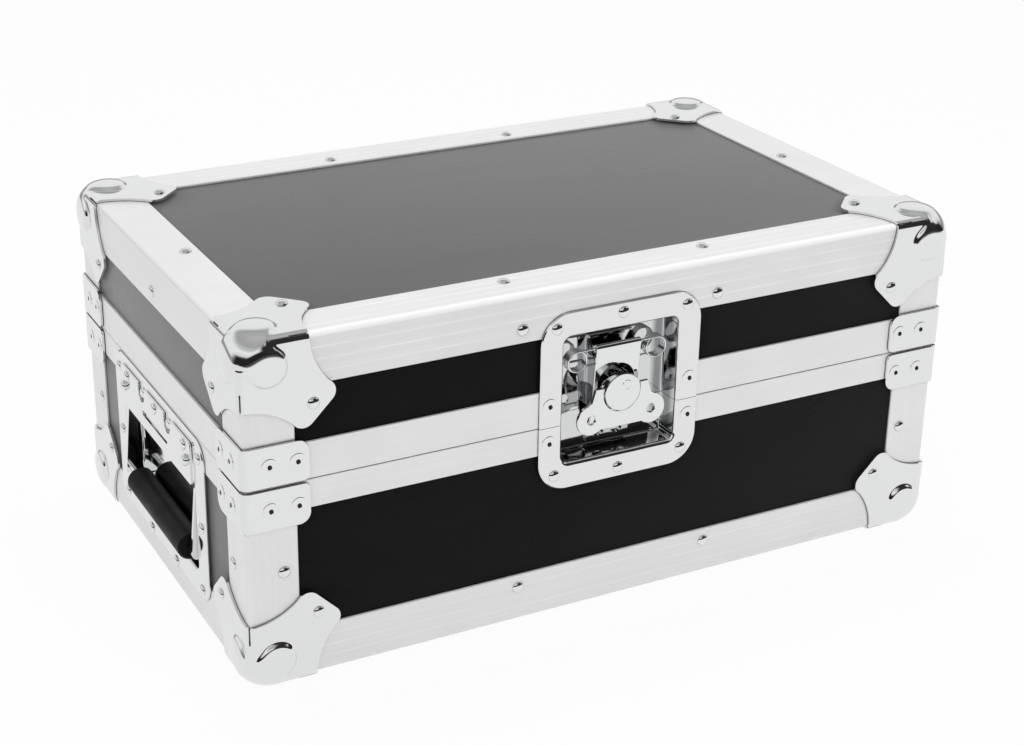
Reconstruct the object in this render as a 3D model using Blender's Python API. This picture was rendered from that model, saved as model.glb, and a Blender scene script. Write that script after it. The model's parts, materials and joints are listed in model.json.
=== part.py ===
"""Flight case for a tabletop CD player: plywood panels in aluminium edging, with chromed hardware.

Metres, +Z up. The front is toward -Y. The origin lies under the middle of the case, on the
surface that its ball corners stand on.

Shapes are drawn in the case's own frame, whose origin is the middle of the case's underside:
x across, y from front to back, z up, with the outer faces of the edging at the case's full size.
"""

from math import acos, cos, pi, radians, sin

import bmesh
import bpy
from mathutils import Matrix, Vector

# Case
CASE_LENGTH = 0.464
CASE_DEPTH = 0.288
CASE_HEIGHT = 0.208
PARTING_HEIGHT = 0.1226
FIT_GAP = 0.0003

# Panels and edging
PANEL_THICKNESS = 0.007
PANEL_CORNER_CUT = 0.0075
EDGE_LEG = 0.030
EDGE_THICKNESS = 0.0015
EDGE_RIDGE_RADIUS = 0.003
EDGE_END_INSET = 0.0168
EDGE_TIP_CHAMFER = 0.0004
GROOVE_PLACES = (0.009, 0.016, 0.023)
GROOVE_WIDTH = 0.0008
GROOVE_DEPTH = 0.00035
MITRE_OFFSET = 0.00022
POST_RECESS = 0.00005

# Closing profiles, which meet at the parting line
LID_PROFILE_HEIGHT = 0.0223
BASE_PROFILE_HEIGHT = 0.0172
PROFILE_FACE_THICKNESS = 0.0015
PROFILE_CHAMFER = 0.0004
PROFILE_WEB = 0.002
PROFILE_INNER_HEIGHT = 0.014
PROFILE_INNER_THICKNESS = 0.0013
TONGUE_INSET = 0.0054
TONGUE_WIDTH = 0.0028
TONGUE_HEIGHT = 0.0028
TONGUE_TAPER = 0.0002
TONGUE_SIDE_CLEARANCE = 0.0008
TONGUE_TOP_CLEARANCE = 0.0006

# Ball corners
CORNER_PROUD = 0.0018
CORNER_BLOCK = 0.062
CORNER_REACH = 0.039
CORNER_SHEET = 0.0010
LOBE_CURVE_RADIUS = 0.04225
LOBE_CURVE_SWEEP = 41
LOBE_CORNER = (0.0567, 0.0343)
LOBE_ROUND = 0.007
LOBE_END_SLANT = 0.004
DOME_CENTRE = 0.015
DOME_RADIUS = 0.0217
DOME_PROUD = 0.0045
CORNER_SLIT_WIDTH = 0.0010
CORNER_SLIT_START = 0.028
CORNER_SLIT_DEPTH = 0.004
LOBE_CUT_REACH = 0.020

# Corner brackets at the parting line
BRACKET_LEG = 0.0375
BRACKET_THICKNESS = 0.0017
BRACKET_RIDGE_RADIUS = 0.005
BRACKET_HEIGHT = 0.0244
BRACKET_PARTING_GAP = 0.0009
BRACKET_FAR_ROUND = 0.007
BRACKET_NEAR_ROUND = 0.0035

# Latch dishes
LATCH_WIDTH = 0.1066
LATCH_TOP = 0.1920
LATCH_BOTTOM = 0.0812
LATCH_CORNER_RADIUS = 0.019
LATCH_OPENING_WIDTH = 0.0764
LATCH_OPENING_TOP = 0.1765
LATCH_OPENING_BOTTOM = 0.0975
LATCH_OPENING_RADIUS = 0.005
LATCH_DEPTH = 0.014
DISH_SHEET = 0.0012
DISH_DRAFT = 0.0005
DISH_FLOOR_ROUND = 0.0012
RIM_ROUND = 0.0024
RIM_ANGLES = (20, 55, 90)

# Latch hook, its bracket and its keeper
HOOK_WIDTH = 0.0295
HOOK_SHEET = 0.0014
HOOK_FRONT = 0.0022
HOOK_FRONT_HEIGHT = 0.1615
HOOK_LEAN = 0.085
HOOK_ROLL_HEIGHT = 0.1640
HOOK_ROLL_DEPTH = 0.0036
HOOK_ROLL_RADIUS = 0.0021
HOOK_ROLL_BORE = 0.0011
HOOK_ROLL_START = 190
HOOK_ROLL_END = -60
HOOK_BORE_END = 235
HOOK_BEND_HEIGHT = 0.1225
HOOK_TOE_DROP = 0.0105
HOOK_TOE_LEAN = 0.31
HOOK_TRAVEL = 0.003
BRACKET_PLATE_TOP = 0.1690
BRACKET_PLATE_BOTTOM = 0.1250
BRACKET_PLATE_INSET = 0.00015
CHEEK_TOP = 0.1550
KEEPER_WIDTH = 0.0282
KEEPER_TOP = 0.1165
KEEPER_BOTTOM = 0.1010
KEEPER_PLATE = 0.0018
KEEPER_LIP_CLEARANCE = 0.0005
KEEPER_HOLE_RADIUS = 0.0041
KEEPER_HOLE_OFFSET = 0.0062
KEEPER_HOLE_HEIGHT = 0.1069
KEEPER_HOLE_DEPTH = 0.0015

# Latch drum and wing
DRUM_HEIGHT = 0.1370
DRUM_RADIUS = 0.0117
DRUM_PROUD = 0.0042
DRUM_BACK_CLEARANCE = 0.0006
DRUM_EDGE_ROUND = 0.0008
DRUM_SLOT_CLEARANCE = 0.0007
WING_AXIS_PROUD = 0.0022
WING_THICKNESS = 0.0020
WING_ARM_RISE = 0.0040
WING_ARM_REACH = 0.0175
WING_SHOULDER = (0.0200, -0.0040)
WING_CLEARANCE = 0.0007
WING_EAR = (0.0200, -0.0146)
WING_EAR_RADIUS = 0.0094
WING_EAR_START = 75
WING_EAR_END = -130
WING_EAR_HOLE = 0.0029
WING_PIN_RADIUS = 0.0008
WING_PIN_REACH = 0.0090
WING_PIN_CLEARANCE = 0.00025
WING_BORE_REACH = 0.0086

# Latch spring
SPRING_WIRE = 0.0012
SPRING_COIL_RADIUS = 0.0056
SPRING_COIL_OFFSET = 0.0263
SPRING_BACK = 0.0096
SPRING_TURNS = 3.5
POINTS_PER_TURN = 10
GAP_SAMPLES = 6

# Handles
HANDLE_FLANGE_SIDE = 0.0175
HANDLE_TOP = 0.1220
HANDLE_BOTTOM = 0.0185
HANDLE_CORNER_RADIUS = 0.013
HANDLE_OPENING_TOP = 0.1039
HANDLE_OPENING_BOTTOM = 0.0345
HANDLE_OPENING_RADIUS = 0.0045
HANDLE_DEPTH = 0.0078
COVER_TOP = 0.1170
COVER_BOTTOM = 0.0905
COVER_THICKNESS = 0.0013
COVER_ROUND = 0.002
COVER_NOTCH_RADIUS = 0.0060
COVER_NOTCH_OFFSET = 0.024
COVER_NOTCH_DROP = 0.0045
COVER_SLOT_LENGTH = 0.046
COVER_SLOT_WIDTH = 0.0035
COVER_SLOT_ROUND = 0.0017
COVER_SLOT_DROP = 0.0170
PIVOT_HEIGHT = 0.0855
PIVOT_DEPTH = 0.0026
PIVOT_ROD_RADIUS = 0.0020
GRIP_HEIGHT = 0.0445
GRIP_PROUD = 0.00105
GRIP_RADIUS = 0.0085
GRIP_FRONT_GAP = 0.0075
GRIP_BACK_GAP = 0.0163
GRIP_END_ROUND = 0.0012
GRIP_ROD_RADIUS = 0.0030
BAIL_SPAN = 0.126
BAIL_SIDE_CLEARANCE = 0.001
BAIL_ARM_WIDTH = 0.0065
BAIL_ARM_THICKNESS = 0.0026

# Hinges on the back
HINGE_OFFSET = 0.130
HINGE_LENGTH = 0.060
HINGE_LEAF = 0.0016
HINGE_LID_LEAF_TOP = 0.0220
HINGE_BASE_LEAF_BOTTOM = 0.0167
HINGE_KNUCKLE_RADIUS = 0.0029
HINGE_PIN_RADIUS = 0.0015
HINGE_PIN_CLEARANCE = 0.0003
HINGE_END_KNUCKLE = 0.0149
HINGE_LEAF_TRIM = 0.0001

# Foam lining
FOAM_CLEARANCE = 0.0006
LID_FOAM_THICKNESS = 0.030
FOAM_TOP_BELOW_PARTING = 0.0148
POCKET_LENGTH = 0.330
POCKET_WIDTH = 0.224
POCKET_FLOOR = 0.028
POCKET_RADIUS = 0.010
FINGER_CUT_WIDTH = 0.080
FINGER_CUT_DEPTH = 0.025
FINGER_CUT_FLOOR = 0.045
LATCH_RELIEF = 0.004
LATCH_RELIEF_BEHIND = 0.0008

# How finely round shapes are drawn, and how far cutters reach past what they cut
ROUND_STEPS = 3
WIDE_ROUND_STEPS = 5
HIDDEN_STEPS = 2
QUARTER_ANGLES = (0, 45, 90)
LOBE_CURVE_STEPS = 3
DOME_SEGMENTS = 16
DOME_RINGS = 10
HOLLOW_SEGMENTS = 12
HOLLOW_RINGS = 8
PIN_SEGMENTS = 8
TUBE_SEGMENTS = 14
BIG_TUBE_SEGMENTS = 40
SMOOTH_ANGLE = radians(40)
PAST = 0.003
FAR = 0.080
TOUCHING = 1e-6

# Worked out from the sizes above
HALF_LENGTH = CASE_LENGTH / 2
HALF_DEPTH = CASE_DEPTH / 2
HALF_GAP = FIT_GAP / 2
PANEL_INSET = EDGE_THICKNESS + FIT_GAP
PANEL_INNER = PANEL_INSET + PANEL_THICKNESS
PROFILE_INNER = PANEL_INNER + FIT_GAP + PROFILE_INNER_THICKNESS
HINGE_AXIS_PROUD = FIT_GAP + HINGE_KNUCKLE_RADIUS
BACK_PROUD = HINGE_AXIS_PROUD + HINGE_KNUCKLE_RADIUS
FRONT_PROUD = max(DOME_PROUD, DRUM_PROUD)
BASE_WEB_BOTTOM = PARTING_HEIGHT - HALF_GAP - PROFILE_WEB
GROOVE_TOP = TONGUE_HEIGHT + TONGUE_TOP_CLEARANCE
LID_WEB_TOP = PARTING_HEIGHT + GROOVE_TOP + PROFILE_WEB
LATCH_CUT_HALF = LATCH_OPENING_WIDTH / 2 + DISH_SHEET + FIT_GAP
LATCH_CUT_BOTTOM = LATCH_OPENING_BOTTOM - DISH_SHEET - FIT_GAP
HOOK_LOWER_DEPTH = HOOK_FRONT + HOOK_LEAN * (HOOK_FRONT_HEIGHT - HOOK_BEND_HEIGHT)
HOOK_TOE_HEIGHT = HOOK_BEND_HEIGHT - HOOK_TOE_DROP
HOOK_TOE_DEPTH = HOOK_LOWER_DEPTH + HOOK_TOE_LEAN * HOOK_TOE_DROP
HALF_HOOK = HOOK_WIDTH / 2
CHEEK_INNER = HALF_HOOK - DISH_SHEET
HALF_HANDLE_OPENING = BAIL_SPAN / 2 + BAIL_SIDE_CLEARANCE
HALF_HANDLE = HALF_HANDLE_OPENING + HANDLE_FLANGE_SIDE
BAIL_INNER = BAIL_SPAN / 2 - BAIL_ARM_THICKNESS
BRACKET_PLATE_FRONT = LATCH_DEPTH - DISH_SHEET
DRUM_BACK = BRACKET_PLATE_FRONT - DRUM_BACK_CLEARANCE

MIRROR_X = Matrix.Diagonal((-1, 1, 1, 1))
MIRROR_Y = Matrix.Diagonal((1, -1, 1, 1))
MIRROR_Z = Matrix.Translation((0, 0, CASE_HEIGHT)) @ Matrix.Diagonal((1, 1, -1, 1))
PARTING_MIRROR = Matrix.Translation((0, 0, 2 * PARTING_HEIGHT)) @ Matrix.Diagonal((1, 1, -1, 1))
UNTURNED = Matrix()
SIDES = {"left": UNTURNED, "right": MIRROR_X}
ENDS = {"front": UNTURNED, "back": MIRROR_Y}

MATERIALS = {
    "aluminium": ((0.80, 0.81, 0.82), 1.0, 0.32),
    "chrome": ((0.86, 0.87, 0.88), 1.0, 0.08),
    "laminate": ((0.018, 0.018, 0.019), 0.0, 0.35),
    "zinc": ((0.70, 0.71, 0.72), 1.0, 0.22),
    "rubber": ((0.016, 0.016, 0.016), 0.0, 0.62),
    "foam": ((0.035, 0.035, 0.037), 0.0, 0.95),
}


def clear_scene():
    for thing in list(bpy.data.objects):
        bpy.data.objects.remove(thing, do_unlink=True)


def material(name):
    """The named Principled material, made once."""
    found = bpy.data.materials.get(name)
    if found:
        return found
    colour, metallic, roughness = MATERIALS[name]
    made = bpy.data.materials.new(name)
    made.use_nodes = True
    surface = made.node_tree.nodes["Principled BSDF"]
    surface.inputs["Base Color"].default_value = (*colour, 1.0)
    surface.inputs["Metallic"].default_value = metallic
    surface.inputs["Roughness"].default_value = roughness
    made.diffuse_color = (*colour, 1.0)
    return made


def axis_empty(name, location, parent=None):
    """An empty at a frame's origin or on a joint's axis."""
    made = bpy.data.objects.new(name, None)
    bpy.context.scene.collection.objects.link(made)
    made.parent = parent
    made.location = location
    return made


def case_position(thing):
    """Where this empty is in the case's frame."""
    place = Vector()
    while thing.parent:
        place += thing.location
        thing = thing.parent
    return place


def shape_from(bm):
    """A working object that holds this bmesh, with its faces turned outward."""
    bmesh.ops.recalc_face_normals(bm, faces=bm.faces[:])
    mesh = bpy.data.meshes.new("shape")
    bm.to_mesh(mesh)
    bm.free()
    made = bpy.data.objects.new("shape", mesh)
    bpy.context.scene.collection.objects.link(made)
    return made


def box(low, high):
    """A box between two opposite corners."""
    bm = bmesh.new()
    bmesh.ops.create_cube(bm, size=1.0)
    for vert in bm.verts:
        for i in range(3):
            vert.co[i] = high[i] if vert.co[i] > 0 else low[i]
    return shape_from(bm)


def on_plane(axis, point, height):
    """The 3-D point for a point drawn square to this axis, at this height along it."""
    u, v = point
    return {"x": (height, u, v), "y": (u, height, v), "z": (u, v, height)}[axis]


def prism(outline, axis, low, high):
    """An outline drawn square to an axis and extruded along it, from low to high."""
    bm = bmesh.new()
    face = bm.faces.new([bm.verts.new(on_plane(axis, p, low)) for p in outline])
    grown = bmesh.ops.extrude_face_region(bm, geom=[face])["geom"]
    moved = [g for g in grown if isinstance(g, bmesh.types.BMVert)]
    bmesh.ops.translate(bm, verts=moved, vec=on_plane(axis, (0, 0), high - low))
    return shape_from(bm)


def loft(loops):
    """A closed skin through loops of equal length, with a face over each end."""
    bm = bmesh.new()
    rings = [[bm.verts.new(p) for p in loop] for loop in loops]
    for ring, following in zip(rings, rings[1:]):
        for i in range(len(ring)):
            j = (i + 1) % len(ring)
            bm.faces.new((ring[i], ring[j], following[j], following[i]))
    bm.faces.new(rings[0])
    bm.faces.new(rings[-1])
    bmesh.ops.remove_doubles(bm, verts=bm.verts[:], dist=TOUCHING)
    return shape_from(bm)


def tube(centre, axis, radius, low, high, segments=TUBE_SEGMENTS):
    """A round bar along an axis, centred on a point drawn square to it."""
    return prism(circle(centre, radius, segments), axis, low, high)


def ball(centre, radius, segments, rings):
    """A sphere whose poles lie along the diagonal of a case corner."""
    bm = bmesh.new()
    bmesh.ops.create_uvsphere(bm, u_segments=segments, v_segments=rings, radius=radius)
    turn = Vector((0, 0, 1)).rotation_difference(Vector((1, 1, 1))).to_matrix()
    bmesh.ops.rotate(bm, verts=bm.verts[:], cent=(0, 0, 0), matrix=turn)
    bmesh.ops.translate(bm, verts=bm.verts[:], vec=(centre, centre, centre))
    return shape_from(bm)


def circle(centre, radius, segments):
    """Points round a circle, with a flat at each side."""
    turns = [2 * pi * (i + 0.5) / segments for i in range(segments)]
    return [(centre[0] + radius * cos(t), centre[1] + radius * sin(t)) for t in turns]


def arc(centre, radius, start, end, steps):
    """Points on an arc, with both its ends, for angles in degrees."""
    turns = [radians(start + (end - start) * i / steps) for i in range(steps + 1)]
    return [(centre[0] + radius * cos(t), centre[1] + radius * sin(t)) for t in turns]


def rounded_outline(points, radii, steps=ROUND_STEPS):
    """A polygon whose corners are rounded, each by its own radius, which may be zero."""
    outline = []
    for i, point in enumerate(points):
        here = Vector(point)
        if radii[i] == 0:
            outline.append(tuple(here))
            continue
        before = (Vector(points[i - 1]) - here).normalized()
        after = (Vector(points[(i + 1) % len(points)]) - here).normalized()
        half = acos(before.dot(after)) / 2
        centre = here + (before + after).normalized() * (radii[i] / sin(half))
        reach = radii[i] * cos(half) / sin(half)
        first = here + before * reach - centre
        last = here + after * reach - centre
        sweep = first.angle_signed(last)
        for k in range(steps + 1):
            outline.append(tuple(centre + Matrix.Rotation(-sweep * k / steps, 2) @ first))
    return outline


def rectangle(low, high):
    return [(low[0], low[1]), (high[0], low[1]), (high[0], high[1]), (low[0], high[1])]


def rounded_rectangle(low, high, radius, steps=ROUND_STEPS):
    return rounded_outline(rectangle(low, high), [radius] * 4, steps)


def chamfered_rectangle(low, high, cut_back):
    (x0, y0), (x1, y1), c = low, high, cut_back
    return [
        (x0 + c, y0), (x1 - c, y0), (x1, y0 + c), (x1, y1 - c),
        (x1 - c, y1), (x0 + c, y1), (x0, y1 - c), (x0, y0 + c),
    ]


def combine(target, others, operation):
    """Applies Boolean modifiers to the target and removes the shapes that it used."""
    for other in others:
        step = target.modifiers.new("combine", "BOOLEAN")
        step.operation = operation
        step.object = other
        step.solver = "EXACT"
    graph = bpy.context.evaluated_depsgraph_get()
    result = bpy.data.meshes.new_from_object(target.evaluated_get(graph))
    target.modifiers.clear()
    target.data = result
    for other in others:
        bpy.data.objects.remove(other, do_unlink=True)
    return target


def cut(target, *others):
    return combine(target, others, "DIFFERENCE")


def join(target, *others):
    return combine(target, others, "UNION")


def overlap(target, *others):
    return combine(target, others, "INTERSECT")


def shaded(shape, material_name):
    """Gives a working shape its material and shading, ready to be placed."""
    mesh = shape.data
    mesh.materials.clear()
    mesh.materials.append(material(material_name))
    mesh.shade_smooth()
    mesh.set_sharp_from_angle(angle=SMOOTH_ANGLE)
    return shape


def place(shape, name, parent, matrix=UNTURNED):
    """Adds a named piece that uses a working shape's mesh, mirrored if the matrix says so."""
    made = bpy.data.objects.new(name, shape.data)
    bpy.context.scene.collection.objects.link(made)
    made.parent = parent
    made.matrix_local = Matrix.Translation(-case_position(parent)) @ matrix
    return made


def settle(shape, name, material_name, parent):
    """Turns a working shape into a named piece, with its origin on its parent."""
    shaded(shape, material_name)
    shape.name = name
    shape.data.name = name
    shape.data.transform(Matrix.Translation(-case_position(parent)))
    shape.parent = parent
    return shape


def discard(*shapes):
    for shape in shapes:
        bpy.data.objects.remove(shape, do_unlink=True)


def angle_outline(leg, thickness, radius, recess=0.0, grooves=()):
    """The section of an angle whose ridge is at the origin, with V grooves along both legs."""
    near, far = recess, recess + thickness
    side = [(leg, near + EDGE_TIP_CHAMFER), (leg - EDGE_TIP_CHAMFER, near)]
    for place_on_leg in sorted(grooves, reverse=True):
        side.append((place_on_leg + GROOVE_WIDTH / 2, near))
        side.append((place_on_leg, near + GROOVE_DEPTH))
        side.append((place_on_leg - GROOVE_WIDTH / 2, near))
    ridge = arc((near + radius, near + radius), radius, -90, -180, ROUND_STEPS)
    other_side = [(v, u) for u, v in reversed(side)]
    return [(leg, far), *side, *ridge, *other_side, (far, leg), (far, far)]


def panels(base, lid):
    """The laminated plywood. Floor and top cover the footprint, and the walls stand between."""
    outer_x = HALF_LENGTH - PANEL_INSET
    outer_y = HALF_DEPTH - PANEL_INSET
    inner_y = HALF_DEPTH - PANEL_INNER
    wall_bottom = PANEL_INNER + FIT_GAP
    wall_top = CASE_HEIGHT - wall_bottom
    base_wall_top = BASE_WEB_BOTTOM - FIT_GAP
    lid_wall_bottom = LID_WEB_TOP + FIT_GAP

    footprint = chamfered_rectangle((-outer_x, -outer_y), (outer_x, outer_y), PANEL_CORNER_CUT)
    flat = shaded(prism(footprint, "z", PANEL_INSET, PANEL_INNER), "laminate")
    place(flat, "base_floor_panel", base)
    place(flat, "lid_top_panel", lid, MIRROR_Z)
    discard(flat)

    latch_cut_top = LATCH_OPENING_TOP + DISH_SHEET + FIT_GAP
    for part, parent, low, high, cut_low, cut_high in (
        ("base", base, wall_bottom, base_wall_top, LATCH_CUT_BOTTOM, PARTING_HEIGHT),
        ("lid", lid, lid_wall_bottom, wall_top, PARTING_HEIGHT, latch_cut_top),
    ):
        front = box((-outer_x, -outer_y, low), (outer_x, -inner_y, high))
        back = shaded(box((-outer_x, inner_y, low), (outer_x, outer_y, high)), "laminate")
        cut(front, box(
            (-LATCH_CUT_HALF, -HALF_DEPTH, cut_low), (LATCH_CUT_HALF, FAR - HALF_DEPTH, cut_high),
        ))
        settle(front, f"{part}_front_panel", "laminate", parent)
        settle(back, f"{part}_back_panel", "laminate", parent)
        reach = inner_y - FIT_GAP
        end = box((-outer_x, -reach, low), (PANEL_THICKNESS - outer_x, reach, high))
        if part == "base":
            half_hole = HALF_HANDLE_OPENING + DISH_SHEET + FIT_GAP
            hole_bottom = HANDLE_OPENING_BOTTOM - DISH_SHEET - FIT_GAP
            hole_top = HANDLE_OPENING_TOP + DISH_SHEET + FIT_GAP
            hole_radius = HANDLE_OPENING_RADIUS + DISH_SHEET + FIT_GAP
            hole = rounded_rectangle((-half_hole, hole_bottom), (half_hole, hole_top), hole_radius)
            cut(end, prism(hole, "x", -HALF_LENGTH, -HALF_LENGTH + FAR))
        shaded(end, "laminate")
        for side, matrix in SIDES.items():
            place(end, f"{part}_{side}_panel", parent, matrix)
        discard(end)


def edging(base, lid):
    """The grooved angles along the eight horizontal edges, mitred where they meet."""
    section = angle_outline(EDGE_LEG, EDGE_THICKNESS, EDGE_RIDGE_RADIUS, 0.0, GROOVE_PLACES)

    def mitre(swap):
        """A wedge that cuts an angle's left or front end, from which the other end is mirrored."""
        corner = [
            (-PAST + MITRE_OFFSET, -PAST),
            (EDGE_LEG + PAST + MITRE_OFFSET, EDGE_LEG + PAST),
            (-PAST, EDGE_LEG + PAST),
        ]
        points = [(v, u) if swap else (u, v) for u, v in corner]
        return [(u - HALF_LENGTH, v - HALF_DEPTH) for u, v in points]

    along_x = prism(
        [(u - HALF_DEPTH, v) for u, v in section],
        "x", EDGE_END_INSET - HALF_LENGTH, HALF_LENGTH - EDGE_END_INSET,
    )
    left = mitre(False)
    right = [(-u, v) for u, v in left]
    cut(along_x, prism(left, "z", -PAST, EDGE_LEG + PAST), prism(right, "z", -PAST, EDGE_LEG + PAST))

    along_y = prism(
        [(u - HALF_LENGTH, v) for u, v in section],
        "y", EDGE_END_INSET - HALF_DEPTH, HALF_DEPTH - EDGE_END_INSET,
    )
    front = mitre(True)
    back = [(u, -v) for u, v in front]
    cut(along_y, prism(front, "z", -PAST, EDGE_LEG + PAST), prism(back, "z", -PAST, EDGE_LEG + PAST))

    for shape, directions in ((along_x, ENDS), (along_y, SIDES)):
        shaded(shape, "aluminium")
        for where, matrix in directions.items():
            place(shape, f"base_{where}_edge", base, matrix)
            place(shape, f"lid_{where}_edge", lid, MIRROR_Z @ matrix)
        discard(shape)


def swept_profile(section):
    """Runs a profile round the case from one side of the latch to the other.

    A section point is (distance in from the outer face, height). The outer vertical corners
    have the same ridge radius as the edging, and the inner ones are square.
    """
    radius = EDGE_RIDGE_RADIUS
    loops = [[(LATCH_CUT_HALF, n - HALF_DEPTH, z) for n, z in section]]
    for start, sx, sy in ((-90, 1, -1), (0, 1, 1), (90, -1, 1), (180, -1, -1)):
        for step in range(ROUND_STEPS + 1):
            turn = radians(start + 90 * step / ROUND_STEPS)
            loop = []
            for n, z in section:
                inset = radius if n < PROFILE_FACE_THICKNESS else n
                loop.append((
                    sx * (HALF_LENGTH - inset) + (inset - n) * cos(turn),
                    sy * (HALF_DEPTH - inset) + (inset - n) * sin(turn),
                    z,
                ))
            loops.append(loop)
    loops.append([(-LATCH_CUT_HALF, n - HALF_DEPTH, z) for n, z in section])
    return loft(loops)


def closing_frames(base, lid):
    """The tongue and groove profiles at the parting line, and the angles on the upright corners."""
    face, inner = PROFILE_FACE_THICKNESS, PROFILE_INNER - PROFILE_INNER_THICKNESS
    half_tongue = TONGUE_WIDTH / 2
    half_groove = half_tongue + TONGUE_SIDE_CLEARANCE
    base_section = [
        (0, -BASE_PROFILE_HEIGHT), (0, -HALF_GAP - PROFILE_CHAMFER), (PROFILE_CHAMFER, -HALF_GAP),
        (TONGUE_INSET - half_tongue, -HALF_GAP),
        (TONGUE_INSET - half_tongue + TONGUE_TAPER, TONGUE_HEIGHT),
        (TONGUE_INSET + half_tongue - TONGUE_TAPER, TONGUE_HEIGHT),
        (TONGUE_INSET + half_tongue, -HALF_GAP),
        (PROFILE_INNER, -HALF_GAP), (PROFILE_INNER, -PROFILE_INNER_HEIGHT),
        (inner, -PROFILE_INNER_HEIGHT), (inner, BASE_WEB_BOTTOM - PARTING_HEIGHT),
        (face, BASE_WEB_BOTTOM - PARTING_HEIGHT), (face, -BASE_PROFILE_HEIGHT),
    ]
    lid_section = [
        (0, LID_PROFILE_HEIGHT), (0, HALF_GAP + PROFILE_CHAMFER), (PROFILE_CHAMFER, HALF_GAP),
        (TONGUE_INSET - half_groove, HALF_GAP), (TONGUE_INSET - half_groove, GROOVE_TOP),
        (TONGUE_INSET + half_groove, GROOVE_TOP), (TONGUE_INSET + half_groove, HALF_GAP),
        (PROFILE_INNER, HALF_GAP), (PROFILE_INNER, PROFILE_INNER_HEIGHT),
        (inner, PROFILE_INNER_HEIGHT), (inner, LID_WEB_TOP - PARTING_HEIGHT),
        (face, LID_WEB_TOP - PARTING_HEIGHT), (face, LID_PROFILE_HEIGHT),
    ]
    base_frame = swept_profile([(n, PARTING_HEIGHT + z) for n, z in base_section])
    settle(base_frame, "base_closing_frame", "aluminium", base)

    ridge = EDGE_RIDGE_RADIUS - POST_RECESS
    outline = angle_outline(EDGE_LEG, EDGE_THICKNESS - 2 * POST_RECESS, ridge, POST_RECESS)
    outline = [(u - HALF_LENGTH, v - HALF_DEPTH) for u, v in outline]
    post_top = PARTING_HEIGHT - BASE_PROFILE_HEIGHT - FIT_GAP
    post = shaded(prism(outline, "z", EDGE_LEG + FIT_GAP, post_top), "aluminium")
    for end, end_matrix in ENDS.items():
        for side, side_matrix in SIDES.items():
            place(post, f"base_{end}_{side}_post", base, side_matrix @ end_matrix)
    discard(post)

    lid_frame = swept_profile([(n, PARTING_HEIGHT + z) for n, z in lid_section])
    foot = PARTING_HEIGHT + LID_PROFILE_HEIGHT - PAST
    head = CASE_HEIGHT - EDGE_LEG - FIT_GAP
    posts = []
    for sx in (1, -1):
        for sy in (1, -1):
            posts.append(prism([(sx * x, sy * y) for x, y in outline], "z", foot, head))
    settle(join(lid_frame, *posts), "lid_closing_frame", "aluminium", lid)


def corner_block(outset, radius, reach, steps):
    """A block in a case corner, with its corner at the origin less outset and its edges rounded."""
    block = box((-outset, -outset, -outset), (reach, reach, reach))
    bm = bmesh.new()
    bm.from_mesh(block.data)
    corner = min(bm.verts, key=lambda vert: vert.co.x + vert.co.y + vert.co.z)
    bmesh.ops.bevel(
        bm, geom=list(corner.link_edges), offset=radius, offset_type="OFFSET",
        segments=steps, profile=0.5, affect="EDGES",
    )
    bm.to_mesh(block.data)
    bm.free()
    return block


def flat_ball(radius, segments, rings, outset):
    """A ball round the dome's centre, cut flat where it passes the three faces by outset."""
    whole = ball(DOME_CENTRE, radius, segments, rings)
    return overlap(whole, box((-outset, -outset, -outset), (FAR, FAR, FAR)))


def lobe_outside():
    """Everything outside a ball corner's plate, for a plate whose two ridges lie on the axes."""
    centre = (CORNER_REACH + LOBE_CURVE_RADIUS, 0)
    curve = arc(centre, LOBE_CURVE_RADIUS, 180, 180 - LOBE_CURVE_SWEEP, LOBE_CURVE_STEPS)
    edge = [*curve, LOBE_CORNER]
    points = [*edge, *[(v, u) for u, v in reversed(edge)]]
    radii = [LOBE_ROUND if p in (LOBE_CORNER, LOBE_CORNER[::-1]) else 0 for p in points]
    plate = rounded_outline(points, radii)
    past_ridge = CORNER_REACH + LOBE_END_SLANT
    return [*plate, (-FAR, past_ridge), (-FAR, FAR), (FAR, FAR), (FAR, -FAR), (past_ridge, -FAR)]


def corner_slit():
    """The outline, square to a ridge, of the slit between two plates."""
    deep, wide = Vector((1, 1)).normalized(), Vector((1, -1)).normalized()
    deep *= CORNER_SLIT_DEPTH
    wide *= CORNER_SLIT_WIDTH / 2
    return [tuple(p) for p in (-deep - wide, -deep + wide, deep + wide, deep - wide)]


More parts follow.
